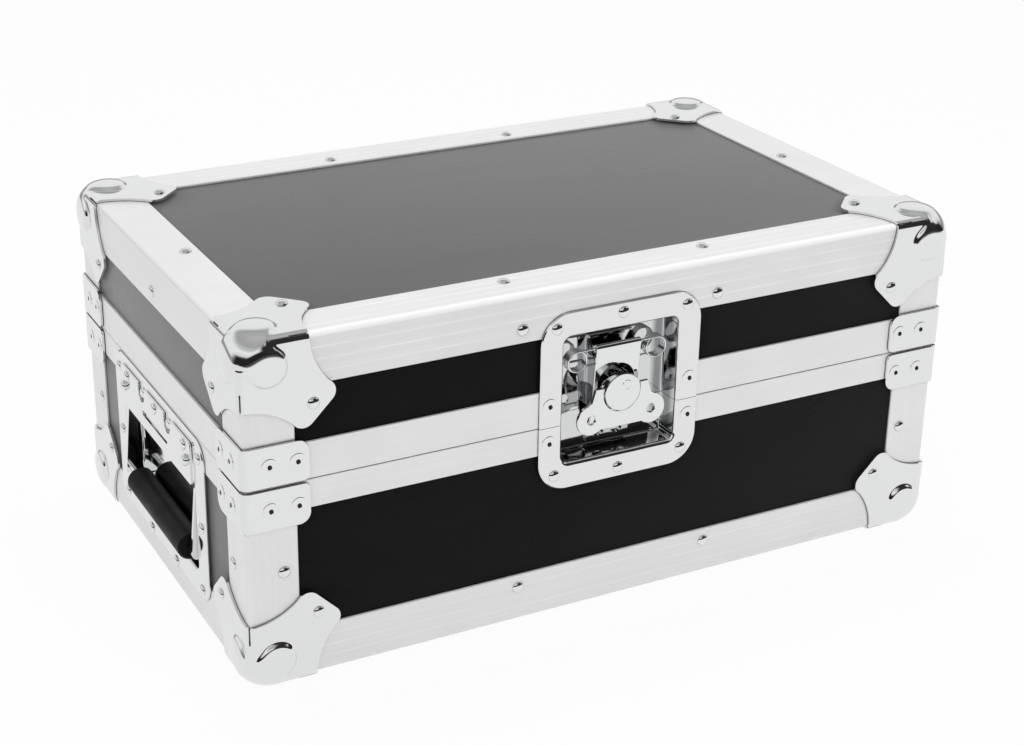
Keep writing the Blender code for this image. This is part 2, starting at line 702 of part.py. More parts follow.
def ball_corners(base, lid):
    """The domed steel corners: three lobed plates pressed from one sheet round a hollow ball."""
    outer_ridge, inner_ridge = EDGE_RIDGE_RADIUS + CORNER_PROUD, EDGE_RIDGE_RADIUS + FIT_GAP
    outer = corner_block(CORNER_PROUD, outer_ridge, CORNER_BLOCK, ROUND_STEPS)
    cut(outer, box((-FAR, -FAR, -FAR), (DOME_CENTRE, DOME_CENTRE, DOME_CENTRE)))
    join(outer, flat_ball(DOME_RADIUS, DOME_SEGMENTS, DOME_RINGS, DOME_PROUD))

    step = DOME_CENTRE + CORNER_SHEET
    hollow = corner_block(FIT_GAP, inner_ridge, FAR, HIDDEN_STEPS)
    cut(hollow, box((-FAR, -FAR, -FAR), (step, step, step)))
    join(hollow, flat_ball(
        DOME_RADIUS - CORNER_SHEET, HOLLOW_SEGMENTS, HOLLOW_RINGS, DOME_PROUD - CORNER_SHEET,
    ))
    cut(outer, hollow)
    outside, slit = lobe_outside(), corner_slit()
    for axis in "xyz":
        cut(
            outer, prism(outside, axis, -LOBE_CUT_REACH, PAST),
            prism(slit, axis, CORNER_SLIT_START, FAR),
        )
    shaded(outer, "chrome")
    to_corner = Matrix.Translation((-HALF_LENGTH, -HALF_DEPTH, 0))
    for end, end_matrix in ENDS.items():
        for side, side_matrix in SIDES.items():
            matrix = side_matrix @ end_matrix @ to_corner
            place(outer, f"base_{end}_{side}_corner", base, matrix)
            place(outer, f"lid_{end}_{side}_corner", lid, MIRROR_Z @ matrix)
    discard(outer)


def corner_brackets(base, lid):
    """The folded plates that tie the closing frames to the upright corners."""
    near = FIT_GAP + BRACKET_THICKNESS
    outline = angle_outline(BRACKET_LEG + near, BRACKET_THICKNESS, BRACKET_RIDGE_RADIUS)
    outline = [(u - near - HALF_LENGTH, v - near - HALF_DEPTH) for u, v in outline]
    top = PARTING_HEIGHT - BRACKET_PARTING_GAP
    bracket = prism(outline, "z", top - BRACKET_HEIGHT, top)
    bm = bmesh.new()
    bm.from_mesh(bracket.data)
    limit_x, limit_y = BRACKET_LEG - HALF_LENGTH, BRACKET_LEG - HALF_DEPTH
    for height, radius in ((top - BRACKET_HEIGHT, BRACKET_FAR_ROUND), (top, BRACKET_NEAR_ROUND)):
        ends = []
        for edge in bm.edges:
            level = all(abs(v.co.z - height) < TOUCHING for v in edge.verts)
            tip_x = all(abs(v.co.x - limit_x) < EDGE_TIP_CHAMFER / 2 for v in edge.verts)
            tip_y = all(abs(v.co.y - limit_y) < EDGE_TIP_CHAMFER / 2 for v in edge.verts)
            if level and (tip_x or tip_y):
                ends.append(edge)
        bmesh.ops.bevel(
            bm, geom=ends, offset=radius, offset_type="OFFSET",
            segments=ROUND_STEPS, profile=0.5, affect="EDGES",
        )
    bm.to_mesh(bracket.data)
    bm.free()
    shaded(bracket, "chrome")
    for end, end_matrix in ENDS.items():
        for side, side_matrix in SIDES.items():
            matrix = side_matrix @ end_matrix
            place(bracket, f"base_{end}_{side}_bracket", base, matrix)
            place(bracket, f"lid_{end}_{side}_bracket", lid, PARTING_MIRROR @ matrix)
    discard(bracket)


def pressed_dish(to_case, plate, plate_radius, opening, opening_radius, depth):
    """A flanged dish pressed from sheet. The plate and opening are (low, high) corners."""
    (u0, v0), (u1, v1) = opening

    def at(growth, d, steps=ROUND_STEPS):
        """The opening's outline, grown, at a depth below the case's face."""
        low, high = (u0 - growth, v0 - growth), (u1 + growth, v1 + growth)
        outline = rounded_rectangle(low, high, opening_radius + growth, steps)
        return [to_case(u, v, d) for u, v in outline]

    front = -FIT_GAP - DISH_SHEET
    flange = rounded_rectangle(plate[0], plate[1], plate_radius, WIDE_ROUND_STEPS)
    dish = loft([[to_case(u, v, d) for u, v in flange] for d in (front, -FIT_GAP)])
    back = depth + DISH_SHEET
    outside = DISH_SHEET - DISH_DRAFT
    join(dish, loft([
        at(DISH_SHEET, front + DISH_SHEET / 2, HIDDEN_STEPS),
        at(outside, back - DISH_FLOOR_ROUND / 2, HIDDEN_STEPS),
        at(outside - DISH_FLOOR_ROUND / 2, back, HIDDEN_STEPS),
    ]))
    loops = []
    for degrees in RIM_ANGLES:
        turn = radians(degrees)
        loops.append(at(RIM_ROUND * (1 - sin(turn)), front + RIM_ROUND * (1 - cos(turn))))
    loops.insert(0, at(RIM_ROUND, front - PAST))
    for degrees in QUARTER_ANGLES:
        turn = radians(degrees)
        inward = DISH_DRAFT + DISH_FLOOR_ROUND * (1 - cos(turn))
        loops.append(at(-inward, depth - DISH_FLOOR_ROUND * (1 - sin(turn))))
    return cut(dish, loft(loops))


def front_face(x, z, depth):
    """A point at a depth behind the case's front face."""
    return x, depth - HALF_DEPTH, z


def left_face(y, z, depth):
    """A point at a depth behind the case's left face."""
    return depth - HALF_LENGTH, y, z


def latch_dishes(base, lid):
    """One pressing either side of the parting line, with the hook's bracket and its keeper."""
    half = LATCH_OPENING_WIDTH / 2
    whole = pressed_dish(
        front_face,
        ((-LATCH_WIDTH / 2, LATCH_BOTTOM), (LATCH_WIDTH / 2, LATCH_TOP)), LATCH_CORNER_RADIUS,
        ((-half, LATCH_OPENING_BOTTOM), (half, LATCH_OPENING_TOP)), LATCH_OPENING_RADIUS,
        LATCH_DEPTH,
    )
    lower = bpy.data.objects.new("shape", whole.data.copy())
    bpy.context.scene.collection.objects.link(lower)
    y0, y1 = -HALF_DEPTH - FAR, -HALF_DEPTH + FAR
    cut(whole, box((-FAR, y0, -FAR), (FAR, y1, PARTING_HEIGHT + HALF_GAP)))
    cut(lower, box((-FAR, y0, PARTING_HEIGHT - HALF_GAP), (FAR, y1, CASE_HEIGHT + FAR)))

    embedded = LATCH_DEPTH + DISH_SHEET / 2
    plate_half = HALF_HOOK - BRACKET_PLATE_INSET
    plate = box(
        front_face(-plate_half, BRACKET_PLATE_BOTTOM, BRACKET_PLATE_FRONT),
        front_face(plate_half, BRACKET_PLATE_TOP, embedded),
    )

    def cheek_front(z):
        return HOOK_FRONT + HOOK_LEAN * (HOOK_FRONT_HEIGHT - z) + HOOK_SHEET + FIT_GAP

    inside = LATCH_DEPTH - DISH_SHEET / 2
    cheek = [(d - HALF_DEPTH, z) for d, z in (
        (inside, BRACKET_PLATE_BOTTOM),
        (cheek_front(BRACKET_PLATE_BOTTOM), BRACKET_PLATE_BOTTOM),
        (cheek_front(CHEEK_TOP), CHEEK_TOP),
        (inside, BRACKET_PLATE_TOP),
    )]
    cheeks = [prism(cheek, "x", sign * CHEEK_INNER, sign * HALF_HOOK) for sign in (-1, 1)]
    join(plate, *cheeks)
    settle(join(whole, plate), "latch_lid_dish", "chrome", lid)

    keeper_front = LATCH_DEPTH - KEEPER_PLATE
    lip_front = HOOK_TOE_DEPTH + HOOK_SHEET + KEEPER_LIP_CLEARANCE
    keeper = prism([(d - HALF_DEPTH, z) for d, z in (
        (embedded, KEEPER_BOTTOM), (keeper_front, KEEPER_BOTTOM),
        (keeper_front, KEEPER_TOP - KEEPER_PLATE), (lip_front, KEEPER_TOP - KEEPER_PLATE),
        (lip_front, KEEPER_TOP), (embedded, KEEPER_TOP),
    )], "x", -KEEPER_WIDTH / 2, KEEPER_WIDTH / 2)
    hole_front, hole_back = lip_front - HALF_DEPTH, keeper_front + KEEPER_HOLE_DEPTH - HALF_DEPTH
    for sign in (-1, 1):
        centre = (sign * KEEPER_HOLE_OFFSET, KEEPER_HOLE_HEIGHT)
        cut(keeper, tube(centre, "y", KEEPER_HOLE_RADIUS, hole_front, hole_back))
    settle(join(lower, keeper), "latch_base_dish", "chrome", base)


def latch_hook(hook_axis):
    """The sliding plate: rolled round the spring at its top, and bent to reach past the keeper."""
    roll = (HOOK_ROLL_DEPTH, HOOK_ROLL_HEIGHT)
    steps = 2 * WIDE_ROUND_STEPS
    outline = [
        *arc(roll, HOOK_ROLL_RADIUS, HOOK_ROLL_START, HOOK_ROLL_END, steps),
        *arc(roll, HOOK_ROLL_BORE, HOOK_ROLL_END, HOOK_BORE_END, steps),
        (HOOK_FRONT + HOOK_SHEET, HOOK_FRONT_HEIGHT),
        (HOOK_LOWER_DEPTH + HOOK_SHEET, HOOK_BEND_HEIGHT),
        (HOOK_TOE_DEPTH + HOOK_SHEET, HOOK_TOE_HEIGHT),
        (HOOK_TOE_DEPTH, HOOK_TOE_HEIGHT),
        (HOOK_LOWER_DEPTH, HOOK_BEND_HEIGHT),
        (HOOK_FRONT, HOOK_FRONT_HEIGHT),
    ]
    outline = [(d - HALF_DEPTH, z) for d, z in outline]
    hook = prism(outline, "x", -HALF_HOOK, HALF_HOOK)
    radius = DRUM_RADIUS + DRUM_SLOT_CLEARANCE
    slot = [
        *arc((0, DRUM_HEIGHT), radius, 180, 360, BIG_TUBE_SEGMENTS // 4),
        *arc((0, DRUM_HEIGHT + HOOK_TRAVEL), radius, 0, 180, BIG_TUBE_SEGMENTS // 4),
    ]
    cut(hook, prism(slot, "y", -HALF_DEPTH, -HALF_DEPTH + FAR))
    settle(hook, "latch_hook_plate", "chrome", hook_axis)


def least_gap(path):
    """The least space between two turns of the wire, from points along its centre line."""
    points = []
    for here, following in zip(path, path[1:]):
        start, end = Vector(here), Vector(following)
        points.extend(start.lerp(end, i / GAP_SAMPLES) for i in range(GAP_SAMPLES))
    points.append(Vector(path[-1]))
    apart = POINTS_PER_TURN * GAP_SAMPLES // 2
    nearest = min(
        (points[i] - points[j]).length for i in range(len(points)) for j in range(i + apart, len(points))
    )
    return nearest - SPRING_WIRE


def latch_spring(hook_axis):
    """One length of wire: a coil at each side, joined by the straight that runs through the roll."""
    turn_count = int(SPRING_TURNS * POINTS_PER_TURN)
    leg_end = HALF_HOOK + FIT_GAP
    centre_height = HOOK_ROLL_HEIGHT - SPRING_COIL_RADIUS
    right = [(leg_end, SPRING_BACK, -SPRING_COIL_RADIUS)]
    right.append((leg_end + SPRING_WIRE, SPRING_BACK, -SPRING_COIL_RADIUS))
    for step in range(turn_count + 1):
        turn = 2 * pi * step / POINTS_PER_TURN
        depth = SPRING_BACK + (HOOK_ROLL_DEPTH - SPRING_BACK) * step / turn_count
        across = SPRING_COIL_OFFSET + SPRING_COIL_RADIUS * sin(turn)
        right.append((across, depth, -SPRING_COIL_RADIUS * cos(turn)))
    left = [(-x, depth, z) for x, depth, z in reversed(right)]
    path = [front_face(x, z + centre_height, depth) for x, depth, z in (*right, *left)]
    print(f"latch_spring: least gap to itself {1000 * least_gap(path):.3f} mm")

    curve = bpy.data.curves.new("spring_path", "CURVE")
    curve.dimensions = "3D"
    curve.bevel_depth = SPRING_WIRE / 2
    curve.bevel_resolution = 1
    curve.use_fill_caps = True
    spline = curve.splines.new("POLY")
    spline.points.add(len(path) - 1)
    for point, co in zip(spline.points, path):
        point.co = (*co, 1)
    wire = bpy.data.objects.new("wire", curve)
    bpy.context.scene.collection.objects.link(wire)
    graph = bpy.context.evaluated_depsgraph_get()
    mesh = bpy.data.meshes.new_from_object(wire.evaluated_get(graph))
    bpy.data.objects.remove(wire, do_unlink=True)
    spring = bpy.data.objects.new("shape", mesh)
    bpy.context.scene.collection.objects.link(spring)
    settle(spring, "latch_spring", "zinc", hook_axis)


def latch_drum(drum_axis):
    """The turning barrel that the wing is hinged to."""
    front = -DRUM_PROUD
    rims = [(DRUM_RADIUS, DRUM_BACK)]
    for degrees in QUARTER_ANGLES:
        turn = radians(degrees)
        inward, back = DRUM_EDGE_ROUND * (1 - cos(turn)), DRUM_EDGE_ROUND * (1 - sin(turn))
        rims.append((DRUM_RADIUS - inward, front + back))
    drum = loft([
        [front_face(x, z, d) for x, z in circle((0, DRUM_HEIGHT), r, BIG_TUBE_SEGMENTS)]
        for r, d in rims
    ])
    bore = (-WING_AXIS_PROUD - HALF_DEPTH, DRUM_HEIGHT)
    radius = WING_PIN_RADIUS + WING_PIN_CLEARANCE
    for sign in (-1, 1):
        ends = sorted((sign * WING_BORE_REACH, sign * FAR))
        cut(drum, tube(bore, "x", radius, *ends, PIN_SEGMENTS))
    settle(drum, "latch_drum", "chrome", drum_axis)


def latch_wing(wing_axis):
    """The folding key: arms down either side of the drum, ending in two pierced ears."""
    inner = DRUM_RADIUS + WING_CLEARANCE
    ear_x, ear_z = WING_EAR
    right = [
        *arc((0, 0), inner, -90, 0, WIDE_ROUND_STEPS),
        (inner, WING_ARM_RISE), (WING_ARM_REACH, WING_ARM_RISE), WING_SHOULDER,
        *arc(WING_EAR, WING_EAR_RADIUS, WING_EAR_START, WING_EAR_END, TUBE_SEGMENTS),
    ]
    left = [(-x, z) for x, z in reversed(right[1:])]
    outline = [(x, z + DRUM_HEIGHT) for x, z in (*right, *left)]
    front = -WING_AXIS_PROUD - WING_THICKNESS / 2 - HALF_DEPTH
    wing = prism(outline, "y", front, front + WING_THICKNESS)
    for sign in (-1, 1):
        hole = (sign * ear_x, ear_z + DRUM_HEIGHT)
        cut(wing, tube(hole, "y", WING_EAR_HOLE, -HALF_DEPTH - FAR, -HALF_DEPTH + FAR))
        ends = sorted((sign * WING_PIN_REACH, sign * (inner + WING_PIN_RADIUS)))
        axle = (-WING_AXIS_PROUD - HALF_DEPTH, DRUM_HEIGHT)
        join(wing, tube(axle, "x", WING_PIN_RADIUS, *ends, PIN_SEGMENTS))
    settle(wing, "latch_wing", "chrome", wing_axis)


def handle_cover():
    """The plate over the handle's spring, notched round two rivets and pierced by a slot."""
    cover_low = (-HALF_HANDLE_OPENING, COVER_BOTTOM)
    plate = rounded_rectangle(cover_low, (HALF_HANDLE_OPENING, COVER_TOP), COVER_ROUND)
    near = -2 * FIT_GAP - DISH_SHEET
    cover = prism(plate, "x", near - COVER_THICKNESS - HALF_LENGTH, near - HALF_LENGTH)
    reach = (-HALF_LENGTH - FAR, -HALF_LENGTH + FAR)
    notch_z = COVER_TOP - COVER_NOTCH_DROP
    for sign in (-1, 1):
        y = sign * COVER_NOTCH_OFFSET
        notch = [
            *arc((y, notch_z), COVER_NOTCH_RADIUS, 180, 360, 2 * WIDE_ROUND_STEPS),
            (y + COVER_NOTCH_RADIUS, COVER_TOP + PAST), (y - COVER_NOTCH_RADIUS, COVER_TOP + PAST),
        ]
        cut(cover, prism(notch, "x", *reach))
    slot_z = COVER_TOP - COVER_SLOT_DROP
    low = (-COVER_SLOT_LENGTH / 2, slot_z - COVER_SLOT_WIDTH / 2)
    high = (COVER_SLOT_LENGTH / 2, slot_z + COVER_SLOT_WIDTH / 2)
    slot = rounded_rectangle(low, high, COVER_SLOT_ROUND)
    return cut(cover, prism(slot, "x", *reach))


def handle_bail():
    """The arms, the rod through the grip and the studs that they swing on, as one forging."""
    pivot = Vector((PIVOT_DEPTH - HALF_LENGTH, PIVOT_HEIGHT))
    grip = Vector((-GRIP_PROUD - HALF_LENGTH, GRIP_HEIGHT))
    along = grip - pivot
    heading = Vector((1, 0)).angle_signed(along)
    start = -180 * heading / pi
    half_width = BAIL_ARM_WIDTH / 2
    arm = [
        *arc(grip, half_width, start - 90, start + 90, WIDE_ROUND_STEPS),
        *arc(pivot, half_width, start + 90, start + 270, WIDE_ROUND_STEPS),
    ]
    outer, inner = BAIL_SPAN / 2, BAIL_INNER
    middle = (outer + inner) / 2
    rod_end = HALF_HANDLE_OPENING + DISH_SHEET / 2
    bail = tube(grip, "y", GRIP_ROD_RADIUS, -middle, middle)
    return join(
        bail, prism(arm, "y", -outer, -inner), prism(arm, "y", inner, outer),
        tube(pivot, "y", PIVOT_ROD_RADIUS, -rod_end, -middle),
        tube(pivot, "y", PIVOT_ROD_RADIUS, middle, rod_end),
    )


def handle_grip():
    """The rubber sleeve on the bail's rod, which has slid toward the front."""
    centre = (-GRIP_PROUD - HALF_LENGTH, GRIP_HEIGHT)
    front, back = GRIP_FRONT_GAP - BAIL_INNER, BAIL_INNER - GRIP_BACK_GAP
    ends = (
        (front, GRIP_RADIUS - GRIP_END_ROUND), (front + GRIP_END_ROUND, GRIP_RADIUS),
        (back - GRIP_END_ROUND, GRIP_RADIUS), (back, GRIP_RADIUS - GRIP_END_ROUND),
    )
    grip = loft([
        [(x, y, z) for x, z in circle(centre, radius, 2 * TUBE_SEGMENTS)] for y, radius in ends
    ])
    return cut(grip, tube(centre, "y", GRIP_ROD_RADIUS + FIT_GAP, -FAR, FAR))


def handles(base, axes):
    """A sprung bail handle in a dish at each end of the base."""
    half = HALF_HANDLE_OPENING
    dish = pressed_dish(
        left_face,
        ((-HALF_HANDLE, HANDLE_BOTTOM), (HALF_HANDLE, HANDLE_TOP)),
        HANDLE_CORNER_RADIUS,
        ((-half, HANDLE_OPENING_BOTTOM), (half, HANDLE_OPENING_TOP)), HANDLE_OPENING_RADIUS,
        HANDLE_DEPTH,
    )
    pivot = (PIVOT_DEPTH - HALF_LENGTH, PIVOT_HEIGHT)
    bore = half + DISH_SHEET + PAST
    cut(dish, tube(pivot, "y", PIVOT_ROD_RADIUS + FIT_GAP, -bore, bore))
    shapes = {"dish": dish, "cover": handle_cover(), "bail": handle_bail(), "grip": handle_grip()}
    for kind, shape in shapes.items():
        shaded(shape, "rubber" if kind == "grip" else "chrome")
        for side, matrix in SIDES.items():
            parent = axes[side] if kind in ("bail", "grip") else base
            place(shape, f"{side}_handle_{kind}", parent, matrix)
        discard(shape)


def hinges(base, lid):
    """Two pairs of leaves on the back, whose knuckles turn on a pin fixed in the base leaf."""
    axle = (HALF_DEPTH + HINGE_AXIS_PROUD, PARTING_HEIGHT)
    near = HALF_DEPTH + FIT_GAP
    half = HINGE_LENGTH / 2
    clear = HINGE_AXIS_PROUD + FIT_GAP / 2
    knuckle_end = half - HINGE_LEAF_TRIM
    end_inner = knuckle_end - HINGE_END_KNUCKLE
    tooth = end_inner + HINGE_LEAF_TRIM
    base_leaf = [
        (-half, -HINGE_BASE_LEAF_BOTTOM), (half, -HINGE_BASE_LEAF_BOTTOM), (half, 0), (tooth, 0),
        (tooth, -clear), (-tooth, -clear), (-tooth, 0), (-half, 0),
    ]
    middle = end_inner - FIT_GAP
    lid_tooth = middle - HINGE_LEAF_TRIM
    lid_leaf = [
        (-half, HINGE_LID_LEAF_TOP), (-half, clear), (-lid_tooth, clear), (-lid_tooth, 0),
        (lid_tooth, 0), (lid_tooth, clear), (half, clear), (half, HINGE_LID_LEAF_TOP),
    ]

    def leaf_plate(outline):
        raised = [(x, z + PARTING_HEIGHT) for x, z in outline]
        return prism(raised, "y", near, near + HINGE_LEAF)

    lower = join(
        leaf_plate(base_leaf),
        tube(axle, "x", HINGE_KNUCKLE_RADIUS, -knuckle_end, -end_inner),
        tube(axle, "x", HINGE_KNUCKLE_RADIUS, end_inner, knuckle_end),
        tube(axle, "x", HINGE_PIN_RADIUS, -end_inner - PAST, end_inner + PAST),
    )
    upper = join(leaf_plate(lid_leaf), tube(axle, "x", HINGE_KNUCKLE_RADIUS, -middle, middle))
    cut(upper, tube(axle, "x", HINGE_PIN_RADIUS + HINGE_PIN_CLEARANCE, -half, half))
    for shape, part, parent in ((lower, "base", base), (upper, "lid", lid)):
        shaded(shape, "zinc")
        for side, sign in (("left", -1), ("right", 1)):
            shift = Matrix.Translation((sign * HINGE_OFFSET, 0, 0))
            place(shape, f"{side}_hinge_{part}_leaf", parent, shift)
        discard(shape)


def foam(base, lid):
    """The lining: a block in the base with a pocket for the player, and a pad in the lid."""
    edge_x = HALF_LENGTH - PANEL_INNER - FOAM_CLEARANCE
    edge_y = HALF_DEPTH - PANEL_INNER - FOAM_CLEARANCE
    bottom = PANEL_INNER + FOAM_CLEARANCE
    top = PARTING_HEIGHT - FOAM_TOP_BELOW_PARTING
    block = box((-edge_x, -edge_y, bottom), (edge_x, edge_y, top))
    half_x, half_y = POCKET_LENGTH / 2, POCKET_WIDTH / 2
    pocket = rounded_rectangle((-half_x, -half_y), (half_x, half_y), POCKET_RADIUS)
    finger_x, finger_y = half_x + FINGER_CUT_DEPTH, FINGER_CUT_WIDTH / 2
    fingers = rounded_rectangle((-finger_x, -finger_y), (finger_x, finger_y), POCKET_RADIUS)
    relief_half = LATCH_CUT_HALF + LATCH_RELIEF
    relief_back = LATCH_DEPTH + DISH_SHEET + LATCH_RELIEF_BEHIND - HALF_DEPTH
    relief_low = LATCH_CUT_BOTTOM - LATCH_RELIEF
    relief_high = LATCH_OPENING_TOP + DISH_SHEET + LATCH_RELIEF
    cut(
        block, prism(pocket, "z", POCKET_FLOOR, CASE_HEIGHT),
        prism(fingers, "z", FINGER_CUT_FLOOR, CASE_HEIGHT),
        box((-relief_half, -HALF_DEPTH, relief_low), (relief_half, relief_back, CASE_HEIGHT)),
    )
    settle(block, "base_foam", "foam", base)

    lid_top = CASE_HEIGHT - PANEL_INNER - FOAM_CLEARANCE
    pad = box((-edge_x, -edge_y, lid_top - LID_FOAM_THICKNESS), (edge_x, edge_y, lid_top))
    cut(pad, box((-relief_half, -HALF_DEPTH, 0), (relief_half, relief_back, relief_high)))
    settle(pad, "lid_foam", "foam", lid)


def build():
    clear_scene()
    forward = (BACK_PROUD - FRONT_PROUD) / 2
    base = axis_empty("case_frame", (0, -forward, DOME_PROUD))
    lid = axis_empty("lid_axis", (0, HALF_DEPTH + HINGE_AXIS_PROUD, PARTING_HEIGHT), base)
    lid_origin = case_position(lid)
    pivot_x = HALF_LENGTH - PIVOT_DEPTH
    handle_axes = {
        "left": axis_empty("left_handle_axis", (-pivot_x, 0, PIVOT_HEIGHT), base),
        "right": axis_empty("right_handle_axis", (pivot_x, 0, PIVOT_HEIGHT), base),
    }
    drum_place = Vector((0, -HALF_DEPTH, DRUM_HEIGHT))
    drum = axis_empty("latch_turn_axis", drum_place - lid_origin, lid)
    wing = axis_empty("latch_wing_axis", (0, -WING_AXIS_PROUD, 0), drum)
    hook = axis_empty("latch_hook_axis", drum_place - lid_origin, lid)

    panels(base, lid)
    edging(base, lid)
    closing_frames(base, lid)
    ball_corners(base, lid)
    corner_brackets(base, lid)
    latch_dishes(base, lid)
    latch_hook(hook)
    latch_spring(hook)
    latch_drum(drum)
    latch_wing(wing)
    handles(base, handle_axes)
    hinges(base, lid)
    foam(base, lid)


build()
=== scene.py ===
"""The flight case dressed for its picture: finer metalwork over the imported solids, rivets, foam,
a pale studio and the photograph's camera. Shapes are drawn in the case's own frame, as in the CAD.
"""

import json
from functools import reduce
from math import acos, cos, pi, radians, sin

import bmesh
import bpy
import numpy as np
from mathutils import Matrix, Vector

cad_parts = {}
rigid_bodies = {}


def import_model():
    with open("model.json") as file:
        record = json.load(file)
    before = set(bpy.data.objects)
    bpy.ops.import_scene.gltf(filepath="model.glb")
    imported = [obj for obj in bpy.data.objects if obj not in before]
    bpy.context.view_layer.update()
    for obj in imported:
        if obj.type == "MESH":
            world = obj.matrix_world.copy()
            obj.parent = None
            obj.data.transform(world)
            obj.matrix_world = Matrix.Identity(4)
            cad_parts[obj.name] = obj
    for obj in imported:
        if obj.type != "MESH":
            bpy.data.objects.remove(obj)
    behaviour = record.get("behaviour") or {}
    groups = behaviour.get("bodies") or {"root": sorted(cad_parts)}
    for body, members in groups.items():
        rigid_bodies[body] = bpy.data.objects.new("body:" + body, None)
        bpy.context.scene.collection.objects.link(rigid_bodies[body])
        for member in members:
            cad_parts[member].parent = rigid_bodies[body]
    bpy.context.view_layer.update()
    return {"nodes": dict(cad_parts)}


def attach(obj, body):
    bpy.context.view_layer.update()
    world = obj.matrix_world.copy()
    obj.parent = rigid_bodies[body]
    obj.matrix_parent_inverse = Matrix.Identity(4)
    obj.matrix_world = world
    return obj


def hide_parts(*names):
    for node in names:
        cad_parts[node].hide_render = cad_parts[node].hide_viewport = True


for startup_thing in list(bpy.data.objects):
    bpy.data.objects.remove(startup_thing, do_unlink=True)

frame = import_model()

# Case
CASE_LENGTH = 0.464
CASE_DEPTH = 0.288
CASE_HEIGHT = 0.208
PARTING_HEIGHT = 0.1226
FIT_GAP = 0.0003

# Panels and edging
PANEL_THICKNESS = 0.007
EDGE_LEG = 0.030
EDGE_THICKNESS = 0.0015
EDGE_RIDGE_RADIUS = 0.003
EDGE_END_INSET = 0.0168
EDGE_TIP_CHAMFER = 0.0004
GROOVE_PLACES = (0.009, 0.016, 0.023)
GROOVE_WIDTH = 0.0007
GROOVE_DEPTH = 0.00008
MITRE_OFFSET = 0.00022
POST_RECESS = 0.00005

# Closing profiles, which meet at the parting line
LID_PROFILE_HEIGHT = 0.0223
BASE_PROFILE_HEIGHT = 0.0172
PROFILE_FACE_THICKNESS = 0.0015
PROFILE_CHAMFER = 0.0004
PROFILE_WEB = 0.002
PROFILE_INNER_HEIGHT = 0.014
PROFILE_INNER_THICKNESS = 0.0013
TONGUE_INSET = 0.0054
TONGUE_WIDTH = 0.0028
TONGUE_HEIGHT = 0.0028
TONGUE_TAPER = 0.0002
TONGUE_SIDE_CLEARANCE = 0.0008
TONGUE_TOP_CLEARANCE = 0.0006

# Ball corners
CORNER_PROUD = 0.0018
CORNER_BLOCK = 0.062
CORNER_REACH = 0.039
LOBE_CURVE_RADIUS = 0.04225
LOBE_CURVE_SWEEP = 41
LOBE_CORNER = (0.0567, 0.0343)
LOBE_ROUND = 0.007
LOBE_END_SLANT = 0.004
DOME_CENTRE = 0.015
DOME_RADIUS = 0.0217
DOME_PROUD = 0.0045
DOME_BLEND = 0.0012
DOME_FLAT_ROUND = 0.0025
DOME_REACH = 0.0122
DOME_DRAFT = 0.45
DOME_SPREAD = 3.0
DOME_WALL_ROUND = 0.0012
CORNER_SLIT_WIDTH = 0.0010
CORNER_SLIT_START = 0.028
CORNER_SLIT_DEPTH = 0.004
LOBE_CUT_REACH = 0.020

# Corner brackets at the parting line
BRACKET_LEG = 0.0375
BRACKET_THICKNESS = 0.0017
BRACKET_RIDGE_RADIUS = 0.005
BRACKET_HEIGHT = 0.0244
BRACKET_PARTING_GAP = 0.0009
BRACKET_FAR_ROUND = 0.007
BRACKET_NEAR_ROUND = 0.0035

# Latch dishes
LATCH_WIDTH = 0.1066
LATCH_TOP = 0.1920
LATCH_BOTTOM = 0.0812
LATCH_CORNER_RADIUS = 0.019
LATCH_OPENING_WIDTH = 0.0764
LATCH_OPENING_TOP = 0.1765
LATCH_OPENING_BOTTOM = 0.0975
LATCH_OPENING_RADIUS = 0.005
LATCH_DEPTH = 0.014
DISH_SHEET = 0.0012
DISH_DRAFT = 0.0005
DISH_FLOOR_ROUND = 0.0012
FLANGE_EDGE = 0.0006
RIM_ROUND = 0.0024
RIM_ANGLES = (5, 17, 29, 41, 53, 65, 78, 90)

# Latch hook, its bracket and its keeper
HOOK_WIDTH = 0.0295
HOOK_SHEET = 0.0014
HOOK_FRONT = 0.0022
HOOK_FRONT_HEIGHT = 0.1615
HOOK_LEAN = 0.085
HOOK_ROLL_HEIGHT = 0.1640
HOOK_ROLL_DEPTH = 0.0036
HOOK_ROLL_RADIUS = 0.0021
HOOK_ROLL_BORE = 0.0011
HOOK_ROLL_START = 190
HOOK_ROLL_END = -60
HOOK_BORE_END = 235
HOOK_BEND_HEIGHT = 0.1225
HOOK_TOE_DROP = 0.0105
HOOK_TOE_LEAN = 0.31
HOOK_TRAVEL = 0.003
BRACKET_PLATE_TOP = 0.1690
BRACKET_PLATE_BOTTOM = 0.1250
BRACKET_PLATE_INSET = 0.00015
CHEEK_TOP = 0.1550
KEEPER_WIDTH = 0.0282
KEEPER_TOP = 0.1165
KEEPER_BOTTOM = 0.1010
KEEPER_PLATE = 0.0018
KEEPER_LIP_CLEARANCE = 0.0005
KEEPER_HOLE_RADIUS = 0.0041
KEEPER_HOLE_OFFSET = 0.0062
KEEPER_HOLE_HEIGHT = 0.1069
KEEPER_HOLE_DEPTH = 0.0015

